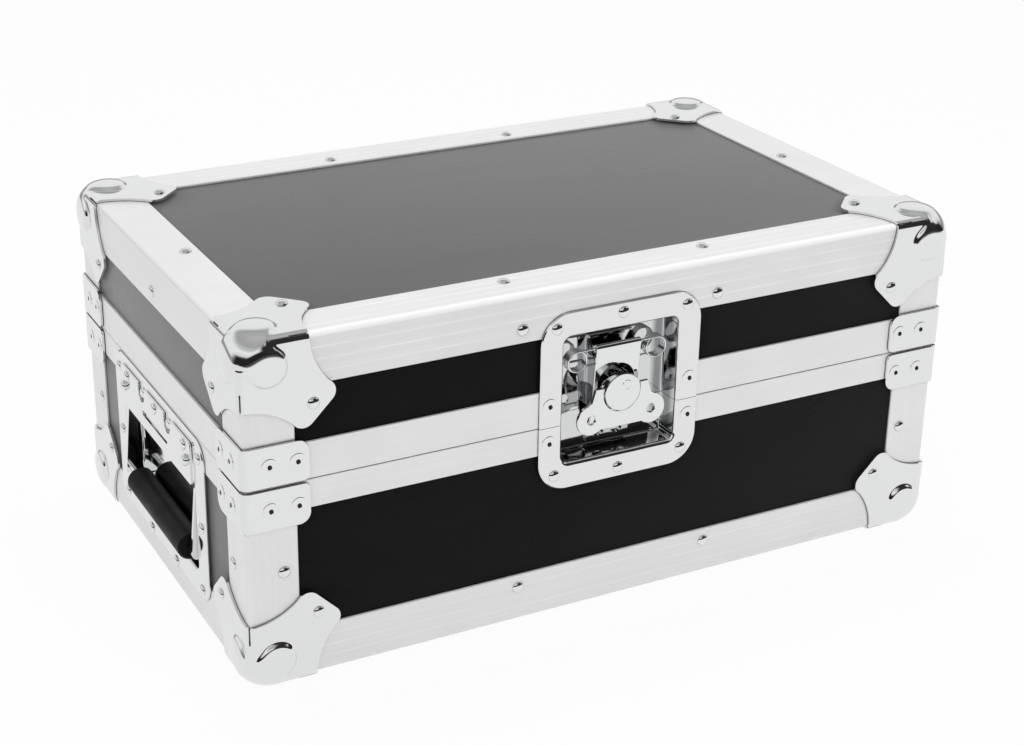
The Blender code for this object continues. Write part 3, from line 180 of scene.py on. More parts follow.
# Latch drum and wing
DRUM_HEIGHT = 0.1370
DRUM_RADIUS = 0.0117
DRUM_PROUD = 0.0042
DRUM_BACK_CLEARANCE = 0.0006
DRUM_EDGE_ROUND = 0.0008
DRUM_SLOT_CLEARANCE = 0.0007
WING_AXIS_PROUD = 0.0022
WING_THICKNESS = 0.0020
WING_ARM_RISE = 0.0040
WING_ARM_REACH = 0.0175
WING_SHOULDER = (0.0200, -0.0040)
WING_CLEARANCE = 0.0007
WING_EAR = (0.0200, -0.0146)
WING_EAR_RADIUS = 0.0094
WING_EAR_START = 75
WING_EAR_END = -130
WING_EAR_HOLE = 0.0029
WING_PIN_RADIUS = 0.0008
WING_PIN_REACH = 0.0090
WING_PIN_CLEARANCE = 0.00025
WING_BORE_REACH = 0.0086

# Latch spring
SPRING_WIRE = 0.0014
SPRING_COIL_RADIUS = 0.0063
SPRING_COIL_OFFSET = 0.0263
SPRING_BACK = 0.0096
SPRING_TURNS = 3.5
POINTS_PER_TURN = 28

# Handles
HANDLE_WIDTH = 0.163
HANDLE_TOP = 0.1220
HANDLE_BOTTOM = 0.0185
HANDLE_CORNER_RADIUS = 0.013
HANDLE_OPENING_WIDTH = 0.128
HANDLE_OPENING_TOP = 0.1039
HANDLE_OPENING_BOTTOM = 0.0345
HANDLE_OPENING_RADIUS = 0.0045
HANDLE_DEPTH = 0.0078
COVER_WIDTH = 0.128
COVER_TOP = 0.1170
COVER_BOTTOM = 0.0905
COVER_THICKNESS = 0.0013
COVER_ROUND = 0.002
COVER_NOTCH_RADIUS = 0.0060
COVER_NOTCH_OFFSET = 0.024
COVER_NOTCH_DROP = 0.0045
COVER_SLOT_LENGTH = 0.046
COVER_SLOT_WIDTH = 0.0035
COVER_SLOT_ROUND = 0.0017
COVER_SLOT_DROP = 0.0170
PIVOT_HEIGHT = 0.0855
PIVOT_DEPTH = 0.0026
PIVOT_ROD_RADIUS = 0.0020
GRIP_HEIGHT = 0.0445
GRIP_PROUD = 0.00105
GRIP_RADIUS = 0.0085
GRIP_LENGTH = 0.097
GRIP_SLIP = 0.0044
GRIP_END_ROUND = 0.0012
GRIP_ROD_RADIUS = 0.0030
BAIL_SPAN = 0.126
BAIL_ARM_WIDTH = 0.0065
BAIL_ARM_THICKNESS = 0.0026

# Hinges on the back
HINGE_OFFSET = 0.130
HINGE_LENGTH = 0.060
HINGE_LEAF = 0.0016
HINGE_LID_LEAF_TOP = 0.0220
HINGE_BASE_LEAF_BOTTOM = 0.0167
HINGE_KNUCKLE_RADIUS = 0.0029
HINGE_PIN_RADIUS = 0.0015
HINGE_PIN_CLEARANCE = 0.0003
HINGE_END_KNUCKLE = 0.0149
HINGE_LEAF_TRIM = 0.0001

# Foam lining
FOAM_CLEARANCE = 0.0006
LID_FOAM_THICKNESS = 0.030
FOAM_TOP_BELOW_PARTING = 0.0148
POCKET_LENGTH = 0.330
POCKET_WIDTH = 0.224
POCKET_FLOOR = 0.028
POCKET_RADIUS = 0.010
FINGER_CUT_WIDTH = 0.080
FINGER_CUT_DEPTH = 0.025
FINGER_CUT_FLOOR = 0.045
LATCH_RELIEF = 0.004
LATCH_RELIEF_BEHIND = 0.0008
FOAM_EDGE = 0.0012

# How finely shapes are drawn, and how far cutters reach past what they cut
ROUND_STEPS = 8
WIDE_ROUND_STEPS = 14
HIDDEN_STEPS = 6
QUARTER_ANGLES = (0, 45, 90)
LOBE_CURVE_STEPS = 14
PIN_SEGMENTS = 24
TUBE_SEGMENTS = 40
BIG_TUBE_SEGMENTS = 96
SMOOTH_ANGLE = radians(32)
SHARP_ANGLE = radians(50)
EDGE_BREAK = 0.0002
CORNER_GRID = 60
CORNER_FINE = 0.0285
CORNER_HEART = 0.030
HALVINGS = 34
PAST = 0.003
FAR = 0.080
TOUCHING = 1e-6

# Worked out from the sizes above
HALF_LENGTH = CASE_LENGTH / 2
HALF_DEPTH = CASE_DEPTH / 2
HALF_GAP = FIT_GAP / 2
PANEL_INSET = EDGE_THICKNESS + FIT_GAP
PANEL_INNER = PANEL_INSET + PANEL_THICKNESS
PROFILE_INNER = PANEL_INNER + FIT_GAP + PROFILE_INNER_THICKNESS
HINGE_AXIS_PROUD = FIT_GAP + HINGE_KNUCKLE_RADIUS
BACK_PROUD = HINGE_AXIS_PROUD + HINGE_KNUCKLE_RADIUS
FRONT_PROUD = max(DOME_PROUD, DRUM_PROUD)
BASE_WEB_BOTTOM = PARTING_HEIGHT - HALF_GAP - PROFILE_WEB
GROOVE_TOP = TONGUE_HEIGHT + TONGUE_TOP_CLEARANCE
LID_WEB_TOP = PARTING_HEIGHT + GROOVE_TOP + PROFILE_WEB
LATCH_CUT_HALF = LATCH_OPENING_WIDTH / 2 + DISH_SHEET + FIT_GAP
LATCH_CUT_BOTTOM = LATCH_OPENING_BOTTOM - DISH_SHEET - FIT_GAP
HOOK_LOWER_DEPTH = HOOK_FRONT + HOOK_LEAN * (HOOK_FRONT_HEIGHT - HOOK_BEND_HEIGHT)
HOOK_TOE_HEIGHT = HOOK_BEND_HEIGHT - HOOK_TOE_DROP
HOOK_TOE_DEPTH = HOOK_LOWER_DEPTH + HOOK_TOE_LEAN * HOOK_TOE_DROP
HALF_HOOK = HOOK_WIDTH / 2
CHEEK_INNER = HALF_HOOK - DISH_SHEET
BRACKET_PLATE_FRONT = LATCH_DEPTH - DISH_SHEET
DRUM_BACK = BRACKET_PLATE_FRONT - DRUM_BACK_CLEARANCE
WING_AXLE = (-WING_AXIS_PROUD - HALF_DEPTH, DRUM_HEIGHT)
HANDLE_PIVOT = (PIVOT_DEPTH - HALF_LENGTH, PIVOT_HEIGHT)
HANDLE_GRIP = (-GRIP_PROUD - HALF_LENGTH, GRIP_HEIGHT)
TIP_NEAR = EDGE_TIP_CHAMFER / 2

MIRROR_X = Matrix.Diagonal((-1, 1, 1, 1))
MIRROR_Y = Matrix.Diagonal((1, -1, 1, 1))
MIRROR_Z = Matrix.Translation((0, 0, CASE_HEIGHT)) @ Matrix.Diagonal((1, 1, -1, 1))
PARTING_MIRROR = Matrix.Translation((0, 0, 2 * PARTING_HEIGHT)) @ Matrix.Diagonal((1, 1, -1, 1))
UNTURNED = Matrix()
CASE_TO_WORLD = Matrix.Translation((0, (FRONT_PROUD - BACK_PROUD) / 2, DOME_PROUD))
TO_FRONT = Matrix.Rotation(pi / 2, 4, "X")
TO_LEFT = Matrix.Rotation(-pi / 2, 4, "Y")
SIDES = {"left": UNTURNED, "right": MIRROR_X}
ENDS = {"front": UNTURNED, "back": MIRROR_Y}
PARTS = {"base": UNTURNED, "lid": MIRROR_Z}
UPRIGHTS = {
    f"{end}_{side}": side_matrix @ end_matrix
    for end, end_matrix in ENDS.items() for side, side_matrix in SIDES.items()
}
BOTH_SIDES = (UNTURNED, MIRROR_X)
ALL_FOUR = (*BOTH_SIDES, MIRROR_Y, MIRROR_X @ MIRROR_Y)

# Finishes. A pair called TURN or FADE is where a value turns from none to all, and a pair called
# ROUGHNESS or STRENGTH is what comes out at its two ends. WAVES are a noise's scale and height.
NOISE_MIDDLE = (0.3, 0.7)
GRAINS = {
    "x": (4.0, 900.0, 900.0), "y": (900.0, 4.0, 900.0),
    "z": (900.0, 900.0, 4.0), "ring": (4.0, 4.0, 900.0),
}
SLOTS = {"pressed_chrome": "chrome", "shadow": "chrome"}
SLOTS.update({f"aluminium_{grain}": "aluminium" for grain in GRAINS})
ALUMINIUM_COLOUR = (0.87, 0.87, 0.88)
ALUMINIUM_LIGHT = (0.895, 0.895, 0.905)
ALUMINIUM_METALLIC = 0.4
ALUMINIUM_ROUGHNESS = (0.36, 0.50)
# Painted highlights: the edging's grooves and ridge are painted white, and not metallic
PAINTED_HIGHLIGHT_TONE = 1.0
GROOVE_HIGHLIGHT_STRENGTH = (0.15, 1.0)
GROOVE_HIGHLIGHT_TURN = (0.35, 0.60)
GROOVE_HIGHLIGHT_STRETCH = (25.0, 160.0, 160.0)
RIDGE_HIGHLIGHT_FADE = (0.0026, 0.0034)
# Painted shade: the aluminium darkens in nooks beside other parts, found by ambient occlusion
NOOK_SHADE_REACH = 0.0011
NOOK_SHADE_TURN = (0.50, 0.78)
NOOK_SHADE_TONE = 0.03
NOOK_SHADE_SAMPLES = 8
CHROME_COLOUR = (0.77, 0.775, 0.78)
CHROME_MARK_TURN = (0.35, 0.75)
CHROME_ROUGHNESS = (0.035, 0.10)
FLAT_WAVES = (30.0, 0.0005)
PRESSED_WAVES = (45.0, 0.0007)
# Painted shade inside the latch's dish: dark on its walls, less dark on its floor
DISH_SHADE = (0.33, 0.333, 0.338)
DISH_SHADE_TURN = (0.0015, 0.0060)
DISH_FLOOR_SHADE = (0.66, 0.665, 0.67)
DISH_FLOOR_TURN = (0.0030, 0.0010)
ZINC_COLOUR = (0.75, 0.76, 0.77)
ZINC_ROUGHNESS = (0.10, 0.24)
LAMINATE_COLOUR = (0.0005, 0.0005, 0.0006)
LAMINATE_DUST = (0.003, 0.003, 0.0033)
LAMINATE_DUST_TURN = (0.42, 0.72)
LAMINATE_ROUGHNESS = (0.24, 0.36)
LAMINATE_SPECULAR = 0.04
LAMINATE_SHEEN = 1.0
LAMINATE_SHEEN_ROUGHNESS = 0.37
# Painted sheen: the laminate's colour turns paler at glancing angles
LAMINATE_PAINTED_SHEEN = 0.07
LAMINATE_PAINTED_SHEEN_TURN = (0.45, 0.72)
LAMINATE_HAIR_TURN = (0.66, 0.70)
RUBBER_COLOUR = (0.004, 0.004, 0.0045)
RUBBER_ROUGHNESS = (0.42, 0.62)
RUBBER_SPECULAR = 0.15
FOAM_COLOUR = (0.040, 0.040, 0.043)
# Painted shade in the hollows of the foam's pores
FOAM_PORE_SHADE = (0.012, 0.012, 0.013)
FOAM_PORES = 1100.0
FOAM_PORE_TURN = (0.0, 0.7)
FOAM_SPECULAR = 0.1
FOAM_SHEEN = 0.25
FOAM_SHEEN_ROUGHNESS = 0.6
# Painted shadow: the dark finish inside the pop rivets' holes
HOLE_SHADOW_TONE = (0.02, 0.02, 0.02)
HOLE_METALLIC = 0.6
HOLE_ROUGHNESS = (0.4, 0.6)

# Rivets and screws: (radius, height) outlines and how many sides each has
RIVET_PROFILES = {
    "domed": ((
        (0, -0.0004), (0.0035, -0.0004), (0.0036, 0.0001), (0.00345, 0.0005), (0.0031, 0.0009),
        (0.0026, 0.00125), (0.0020, 0.00152), (0.0013, 0.0017), (0.0006, 0.00179), (0, 0.0018),
    ), 32),
    "pop": ((
        (0, -0.0004), (0.0046, -0.0004), (0.00475, 0.00005), (0.00472, 0.00022),
        (0.0045, 0.00030), (0.0036, 0.00038), (0.0027, 0.00046), (0.0019, 0.00060),
        (0.0016, 0.00064), (0.00138, 0.00052), (0.00134, 0.0001), (0, 0.0001),
    ), 36),
    "mandrel": ((
        (0, 0.00005), (0.00128, 0.00005), (0.00128, 0.0002), (0.0010, 0.0003), (0, 0.0003),
    ), 16),
    "tall": ((
        (0, -0.0004), (0.0035, -0.0004), (0.0036, 0.0002), (0.0035, 0.0010), (0.0031, 0.0018),
        (0.0025, 0.0024), (0.0017, 0.00275), (0.0008, 0.0029), (0, 0.00295),
    ), 32),
    "hinge": ((
        (0, -0.0004), (0.0030, -0.0004), (0.0031, 0.0001), (0.0028, 0.0006), (0.0021, 0.0010),
        (0.0012, 0.00122), (0, 0.0013),
    ), 24),
}
DRUM_MARK = (
    (0, -0.0002), (0.0030, -0.0002), (0.0031, 0), (0.0028, 0.00022), (0.0022, 0.00010), (0, 0),
)
DRUM_MARK_PLACE = (0.0025, 0.0042)

# Where rivets are, in millimetres from the case's corner, or from the middle of latch or handle
EDGING_RIVETS = (("top", 166, 20.7), ("front", 167.5, 186))
END_RIVETS = {"lid": (("top", 21.9, 144), ("left", 144, 187)), "base": (("top", 21.9, 144),)}
BALL_RIVETS = (("front", 40.5, 168), ("left", 40.5, 168), ("top", 40.5, 40.5))
POST_RIVET = (21.5, 69)
BRACKET_RIVETS = (14.2, 30.6)
BRACKET_RIVET_HEIGHTS = (("lid", 135.8), ("base", 109.3))
LATCH_RIVETS = (
    ("lid", "domed", 43.3, 183), ("lid", "pop", 46.8, 136), ("lid", "domed", 0, 186),
    ("base", "pop", 46.8, 112.5), ("base", "domed", 43, 91), ("base", "domed", 0, 87.5),
)
HANDLE_RIVETS = (
    ("domed", 24, 112.3, False), ("domed", 73.7, 67, False), ("domed", 70, 24.5, False),
    ("domed", 23, 20.5, False), ("domed", 72.5, 111, False), ("domed", 52.6, 112, True),
    ("domed", 0, 112, True), ("tall", 57, 104, True),
)
HINGE_SCREWS = (-22, 22)
HINGE_SCREW_HEIGHTS = (("lid", 137), ("base", 112.5))

# Studio and camera
FLOOR_HALF = 3.0
FLOOR_DROP = 0.0002
FLOOR_COLOUR = 0.90
FLOOR_GLOW = 0.94
FLOOR_LEFTWARD = (-1.0, 1.0, 0.0)
FLOOR_TURN = (-0.2, 0.2)
FLOOR_FRONT_TONE = 0.98
FLOOR_LEFT_TONE = 0.93
FLOOR_FADE = (-1.25, -0.95)
FLOOR_FAR_TONE = 0.03
FRONT_TONES = (
    (0.0, 0.02), (0.28, 0.02), (0.40, 0.85), (0.54, 1.00), (0.66, 0.62), (0.80, 0.45), (1.0, 0.55),
)
BACK_TONES = ((0.0, 0.35), (0.12, 0.40), (0.26, 0.97), (0.55, 0.95), (0.78, 0.45), (1.0, 0.50))
BACK_TURN = (-0.2, 0.12)
DARK_AIM = (0.50, -0.74, 0.45)
DARK_TURN = (0.84, 0.92)
DARK_TONE = 0.03
SOFT_BOXES = (
    ("soft_box_left", (-1.5, -1.1, 1.5), (0.9, 0.9), 6.5),
    ("soft_box_right", (0.6, -1.6, 1.3), (0.9, 0.7), 12),
    ("soft_box_above", (0.0, 0.5, 2.1), (1.0, 0.6), 12),
)
SOFT_BOX_AIM = (0, 0, 0.1)
CAMERA_SENSOR = 36.0
CAMERA_NEAR = 0.05
CAMERA_LENS = 67.918
CAMERA_SHIFT = (0.05004, -0.04674)
CAMERA_PLACE = (-0.54157, -1.01243, 0.60721)
CAMERA_TURN = (67.3173, -0.3366, -26.6586)


def new_object(name, data):
    """An object in the scene."""
    made = bpy.data.objects.new(name, data)
    bpy.context.scene.collection.objects.link(made)
    return made


def discard(*shapes):
    for shape in shapes:
        bpy.data.objects.remove(shape, do_unlink=True)


def shape_from(bm):
    """A working object that holds this bmesh, with its faces turned outward."""
    bmesh.ops.recalc_face_normals(bm, faces=bm.faces[:])
    mesh = bpy.data.meshes.new("shape")
    bm.to_mesh(mesh)
    bm.free()
    return new_object("shape", mesh)


def evaluated(made):
    """An object's mesh, with its modifiers applied."""
    graph = bpy.context.evaluated_depsgraph_get()
    return bpy.data.meshes.new_from_object(made.evaluated_get(graph))


def settle(shape):
    """Applies a shape's modifiers."""
    result = evaluated(shape)
    shape.modifiers.clear()
    shape.data = result
    return shape


def box(low, high):
    """A box between two opposite corners."""
    bm = bmesh.new()
    bmesh.ops.create_cube(bm, size=1.0)
    for vert in bm.verts:
        for i in range(3):
            vert.co[i] = high[i] if vert.co[i] > 0 else low[i]
    return shape_from(bm)


def on_plane(axis, point, height):
    """The 3-D point for a point drawn square to this axis, at this height along it."""
    u, v = point
    return {"x": (height, u, v), "y": (u, height, v), "z": (u, v, height)}[axis]


def prism(outline, axis, low, high):
    """An outline drawn square to an axis and extruded along it, from low to high."""
    bm = bmesh.new()
    face = bm.faces.new([bm.verts.new(on_plane(axis, p, low)) for p in outline])
    grown = bmesh.ops.extrude_face_region(bm, geom=[face])["geom"]
    verts = [g for g in grown if isinstance(g, bmesh.types.BMVert)]
    bmesh.ops.translate(bm, verts=verts, vec=on_plane(axis, (0, 0), high - low))
    return shape_from(bm)


def bridge(bm, rings):
    """Adds the faces between rings of vertices. A ring may repeat one vertex."""
    for ring, following in zip(rings, rings[1:]):
        for i in range(len(ring)):
            j = (i + 1) % len(ring)
            bm.faces.new(list(dict.fromkeys((ring[i], ring[j], following[j], following[i]))))


def loft(loops):
    """A closed skin through loops of equal length, with a face over each end."""
    bm = bmesh.new()
    rings = [[bm.verts.new(p) for p in loop] for loop in loops]
    bridge(bm, rings)
    bm.faces.new(rings[0])
    bm.faces.new(rings[-1])
    bmesh.ops.remove_doubles(bm, verts=bm.verts[:], dist=TOUCHING)
    return shape_from(bm)


def revolve(profile, segments):
    """A solid of revolution round z, from (radius, height) points that begin and end on it."""
    bm = bmesh.new()
    turns = [2 * pi * i / segments for i in range(segments)]
    rings = []
    for r, z in profile:
        if r == 0:
            rings.append([bm.verts.new((0, 0, z))] * segments)
        else:
            rings.append([bm.verts.new((r * cos(t), r * sin(t), z)) for t in turns])
    bridge(bm, rings)
    return shape_from(bm)


def circle(centre, radius, segments):
    """Points round a circle, with a flat at each side."""
    turns = [2 * pi * (i + 0.5) / segments for i in range(segments)]
    return [(centre[0] + radius * cos(t), centre[1] + radius * sin(t)) for t in turns]


def arc(centre, radius, start, end, steps):
    """Points on an arc, with both its ends, for angles in degrees."""
    turns = [radians(start + (end - start) * i / steps) for i in range(steps + 1)]
    return [(centre[0] + radius * cos(t), centre[1] + radius * sin(t)) for t in turns]


def moved(points, du, dv=0.0):
    return [(u + du, v + dv) for u, v in points]


def mirrored(points, shared=0):
    """A run of points and its mirror image back again, less the first points that both share."""
    return [*points, *[(-u, v) for u, v in reversed(points[shared:])]]


def tube(centre, axis, radius, low, high, segments=TUBE_SEGMENTS):
    """A round bar along an axis, centred on a point drawn square to it."""
    return prism(circle(centre, radius, segments), axis, low, high)


def rounded_outline(points, radii, steps=ROUND_STEPS):
    """A polygon whose corners are rounded, each by its own radius, which may be zero."""
    outline = []
    for i, point in enumerate(points):
        here = Vector(point)
        if radii[i] == 0:
            outline.append(tuple(here))
            continue
        before = (Vector(points[i - 1]) - here).normalized()
        after = (Vector(points[(i + 1) % len(points)]) - here).normalized()
        half = acos(before.dot(after)) / 2
        centre = here + (before + after).normalized() * (radii[i] / sin(half))
        reach = radii[i] * cos(half) / sin(half)
        first = here + before * reach - centre
        sweep = first.angle_signed(here + after * reach - centre)
        for k in range(steps + 1):
            outline.append(tuple(centre + Matrix.Rotation(-sweep * k / steps, 2) @ first))
    return outline


def rounded_rectangle(low, high, radius, steps=ROUND_STEPS):
    corners = [low, (high[0], low[1]), high, (low[0], high[1])]
    return rounded_outline(corners, [radius] * 4, steps)


def combine(target, others, operation):
    """Applies Boolean modifiers to the target and removes the shapes that it used."""
    for other in others:
        step = target.modifiers.new("combine", "BOOLEAN")
        step.operation, step.object, step.solver = operation, other, "EXACT"
    settle(target)
    discard(*others)
    return target


def cut(target, *others):
    return combine(target, others, "DIFFERENCE")


def join(target, *others):
    return combine(target, others, "UNION")


def chamfered(shape, width=EDGE_BREAK):
    """Takes the sharpness off every edge that folds more than SHARP_ANGLE."""
    step = shape.modifiers.new("edge", "BEVEL")
    step.width, step.segments = width, 1
    step.limit_method, step.angle_limit = "ANGLE", SHARP_ANGLE
    step.use_clamp_overlap = False
    return settle(shape)


def finish_of(name):
    return bpy.data.materials[f"{name}_finish"]


def place(shape, name, body, finish, matrix=UNTURNED, node=None):
    """Adds a piece that uses a working shape, riding on a body and standing for a CAD node."""
    mesh = shape.data.copy()
    mesh.name = name
    mesh.transform(CASE_TO_WORLD @ matrix)
    if matrix.determinant() < 0:
        mesh.flip_normals()
    mesh.materials.clear()
    mesh.materials.append(finish_of(finish))
    mesh.shade_smooth()
    mesh.set_sharp_from_angle(angle=SMOOTH_ANGLE)
    made = new_object(name, mesh)
    made.modifiers.new("even_normals", "WEIGHTED_NORMAL").keep_sharp = True
    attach(made, body)
    if node:
        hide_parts(node)
    SLOTS.get(finish, finish)
    return made


def keep(shape, node, body, finish):
    """Places a single piece that stands for one CAD node, and drops the working shape."""
    made = place(shape, f"{node}_piece", body, finish, UNTURNED, node)
    discard(shape)
    return made


def spread(shape, noun, suffix, finish, parts, places):
    """Places a shape at each place in each part, standing for the node there, and drops it."""
    for where, matrix in places.items():
        for part, part_matrix in parts.items():
            node = f"{part}_{where}_{noun}"
            place(shape, f"{node}_{suffix}", part, finish, part_matrix @ matrix, node)
    discard(shape)


class Graph:
    """A node tree in the making. Most methods add a node and return the socket of its result."""

    def __init__(self, tree):
        self.nodes, self.links = tree.nodes, tree.links
        self.normal = None

    def feed(self, inputs, values):
        """Joins inputs to sockets, or sets them to numbers, grey tones or colours."""
        for slot, value in values.items():
            socket = inputs[slot]
            if isinstance(value, bpy.types.NodeSocket):
                self.links.new(value, socket)
            elif socket.type == "RGBA":
                tones = (value,) * 3 if isinstance(value, float) else value
                socket.default_value = (*tones, 1.0)
            else:
                socket.default_value = value

    def add(self, kind, values=None, output=0, **settings):
        """Adds a node with these settings and inputs."""
        node = self.nodes.new(f"ShaderNode{kind}")
        for name, value in settings.items():
            setattr(node, name, value)
        self.feed(node.inputs, values or {})
        return node.outputs[output]

    def along(self, axis, where="Object"):
        """A coordinate along one axis."""
        return self.add("SeparateXYZ", {0: self.add("TexCoord", output=where)}, axis)

    def toward(self, direction, where):
        """How far a place, or how much a direction, is along another direction."""
        at = self.add("TexCoord", output=where)
        return self.add("VectorMath", {0: at, 1: direction}, "Value", operation="DOT_PRODUCT")

    def math(self, operation, *values):
        return self.add("Math", dict(enumerate(values)), operation=operation)

    def fold(self, operation, values):
        """Takes one operation through a run of values."""
        return reduce(lambda first, second: self.math(operation, first, second), values)

    def span(self, value, ends=NOISE_MIDDLE, results=(0.0, 1.0)):
        """Maps a value from one range to another, and clamps it."""
        slots = ("Value", "From Min", "From Max", "To Min", "To Max")
        return self.add("MapRange", dict(zip(slots, (value, *ends, *results))), "Result")

    def mix(self, factor, first, second):
        """Blends two colours, each a socket, a grey tone or a colour."""
        return self.add("Mix", {0: factor, 6: first, 7: second}, 2, data_type="RGBA")

    def noise(self, scale, detail, stretch=None, roughness=0.5, distortion=0.0):
        """A noise in the piece's own coordinates, squeezed along each axis if stretch says so."""
        at = self.add("TexCoord", output="Object")
        if stretch:
            at = self.add("Mapping", {"Vector": at, "Scale": stretch})
        return self.add("TexNoise", {
            "Vector": at, "Scale": scale, "Detail": detail,
            "Roughness": roughness, "Distortion": distortion,
        }, "Fac")

    def bump(self, height, distance, strength):
        """Bumps the surface by a height, over the bump before if there is one."""
        values = {"Strength": strength, "Distance": distance, "Height": height}
        if self.normal is not None:
            values["Normal"] = self.normal
        self.normal = self.add("Bump", values, "Normal")
        self.dress({"Normal": self.normal})

    def dress(self, values):
        """Sets or joins the inputs of a finish's own shader."""
        self.feed(self.nodes["Principled BSDF"].inputs, values)

    def ramp(self, value, stops):
        """A smooth run of grey tones, from (position, tone) stops."""
        ramp = self.nodes.new("ShaderNodeValToRGB")
        ramp.color_ramp.interpolation = "EASE"
        elements = ramp.color_ramp.elements
        while len(elements) < len(stops):
            elements.new(0.5)
        for element, (position, tone) in zip(elements, stops):
            element.position, element.color = position, (tone, tone, tone, 1.0)
        self.feed(ramp.inputs, {"Fac": value})
        return ramp.outputs["Color"]

    def choose(self, factor, first, second, output):
        """Ends the tree with one of two shaders, or a mixture of them."""
        mixed = self.add("MixShader", {0: factor, 1: first, 2: second})
        end = self.nodes.new(f"ShaderNode{output}")
        self.feed(end.inputs, {"Surface": mixed})


def new_finish(name, colour, metallic, roughness):
    """The graph of a new finish, with its colour and its numbers set."""
    made = bpy.data.materials.new(f"{name}_finish")
    made.use_nodes = True
    made.diffuse_color = (*colour, 1.0)
    graph = Graph(made.node_tree)
    graph.dress({"Base Color": colour, "Metallic": metallic, "Roughness": roughness})
    return graph


def from_middle(graph):
    """How far a point is from the case's middle in depth and in height, with the half size."""
    shift, half_height = CASE_TO_WORLD.translation, CASE_HEIGHT / 2
    for axis, middle, half in (
        ("Y", shift.y, HALF_DEPTH), ("Z", shift.z + half_height, half_height),
    ):
        away = graph.math("SUBTRACT", graph.along(axis), middle)
        yield graph.math("ABSOLUTE", away), half


def painted_groove_highlights(graph):
    """Painted highlight: one in the grooves of an edging, less in random patches along them."""
    grooves = [
        graph.math("COMPARE", size, half - groove, GROOVE_WIDTH / 2)
        for size, half in from_middle(graph) for groove in GROOVE_PLACES
    ]
    variation = graph.noise(scale=1.0, detail=3.0, stretch=GROOVE_HIGHLIGHT_STRETCH, roughness=0.6)
    return graph.math(
        "MULTIPLY", graph.fold("MAXIMUM", grooves), graph.span(variation, GROOVE_HIGHLIGHT_TURN, GROOVE_HIGHLIGHT_STRENGTH)
    )


def painted_ridge_highlight(graph):
    """Painted highlight: one on the rounded outer edges along the case, fading over a millimetre.
    """
    return graph.fold("MINIMUM", [
        graph.span(size, (half - RIDGE_HIGHLIGHT_FADE[1], half - RIDGE_HIGHLIGHT_FADE[0]))
        for size, half in from_middle(graph)
    ])


def make_aluminium(grain, stretch):
    """Satin anodised extrusion: lines drawn along the grain, smudges, and painted shade in its
    nooks.

    The angles along the case also get a painted highlight in their grooves and on their ridge.
    """
    graph = new_finish(f"aluminium_{grain}", ALUMINIUM_COLOUR, ALUMINIUM_METALLIC, roughness=0.42)
    lines = graph.noise(scale=1.0, detail=3.0, stretch=stretch, roughness=0.6)
    smudges = graph.noise(scale=26.0, detail=5.0, roughness=0.6, distortion=0.4)
    colour = graph.mix(graph.span(lines), ALUMINIUM_COLOUR, ALUMINIUM_LIGHT)
    if grain == "x":
        # Painted highlight: the grooves and the ridge are turned white and not metallic
        light = graph.math("MAXIMUM", painted_groove_highlights(graph), painted_ridge_highlight(graph))
        colour = graph.mix(light, colour, PAINTED_HIGHLIGHT_TONE)
        graph.dress({"Metallic": graph.span(light, (0.0, 1.0), (ALUMINIUM_METALLIC, 0.0))})
    # Painted shade: ambient occlusion darkens the colour in nooks beside other parts
    nook = graph.add("AmbientOcclusion", {"Distance": NOOK_SHADE_REACH}, "AO", samples=NOOK_SHADE_SAMPLES)
    colour = graph.mix(graph.span(nook, NOOK_SHADE_TURN), NOOK_SHADE_TONE, colour)
    rough = graph.span(smudges, results=ALUMINIUM_ROUGHNESS)
    graph.dress({"Base Color": colour, "Roughness": rough})
    graph.bump(lines, distance=0.00002, strength=0.2)


def make_chrome(name, wave_scale, wave_height):
    """Bright plating over pressed steel: nearly a mirror, slightly uneven, with faint marks.

    In the latch's dish it has painted shade, darker with depth, and less dark on the floor.
    """
    graph = new_finish(name, CHROME_COLOUR, metallic=1.0, roughness=0.05)
    marks = graph.noise(scale=90.0, detail=6.0, roughness=0.7, distortion=0.6)
    graph.dress({"Roughness": graph.span(marks, CHROME_MARK_TURN, CHROME_ROUGHNESS)})
    graph.bump(graph.noise(wave_scale, detail=1.0), wave_height, 1.0)
    # Painted shade: the dish darkens with depth, and less so on its floor
    if name == "pressed_chrome":
        face = CASE_TO_WORLD.translation.y - HALF_DEPTH
        across = graph.along("Y")
        inside = graph.span(across, [face + depth for depth in DISH_SHADE_TURN])
        floor = graph.span(across, [face + LATCH_DEPTH - short for short in DISH_FLOOR_TURN])
        shade = graph.mix(floor, DISH_SHADE, DISH_FLOOR_SHADE)
        graph.dress({"Base Color": graph.mix(inside, CHROME_COLOUR[0], shade)})


def make_zinc():
    graph = new_finish("zinc", ZINC_COLOUR, metallic=1.0, roughness=0.16)
    marks = graph.noise(scale=300.0, detail=4.0)
    graph.dress({"Roughness": graph.span(marks, results=ZINC_ROUGHNESS)})
    graph.bump(marks, distance=0.00003, strength=0.4)


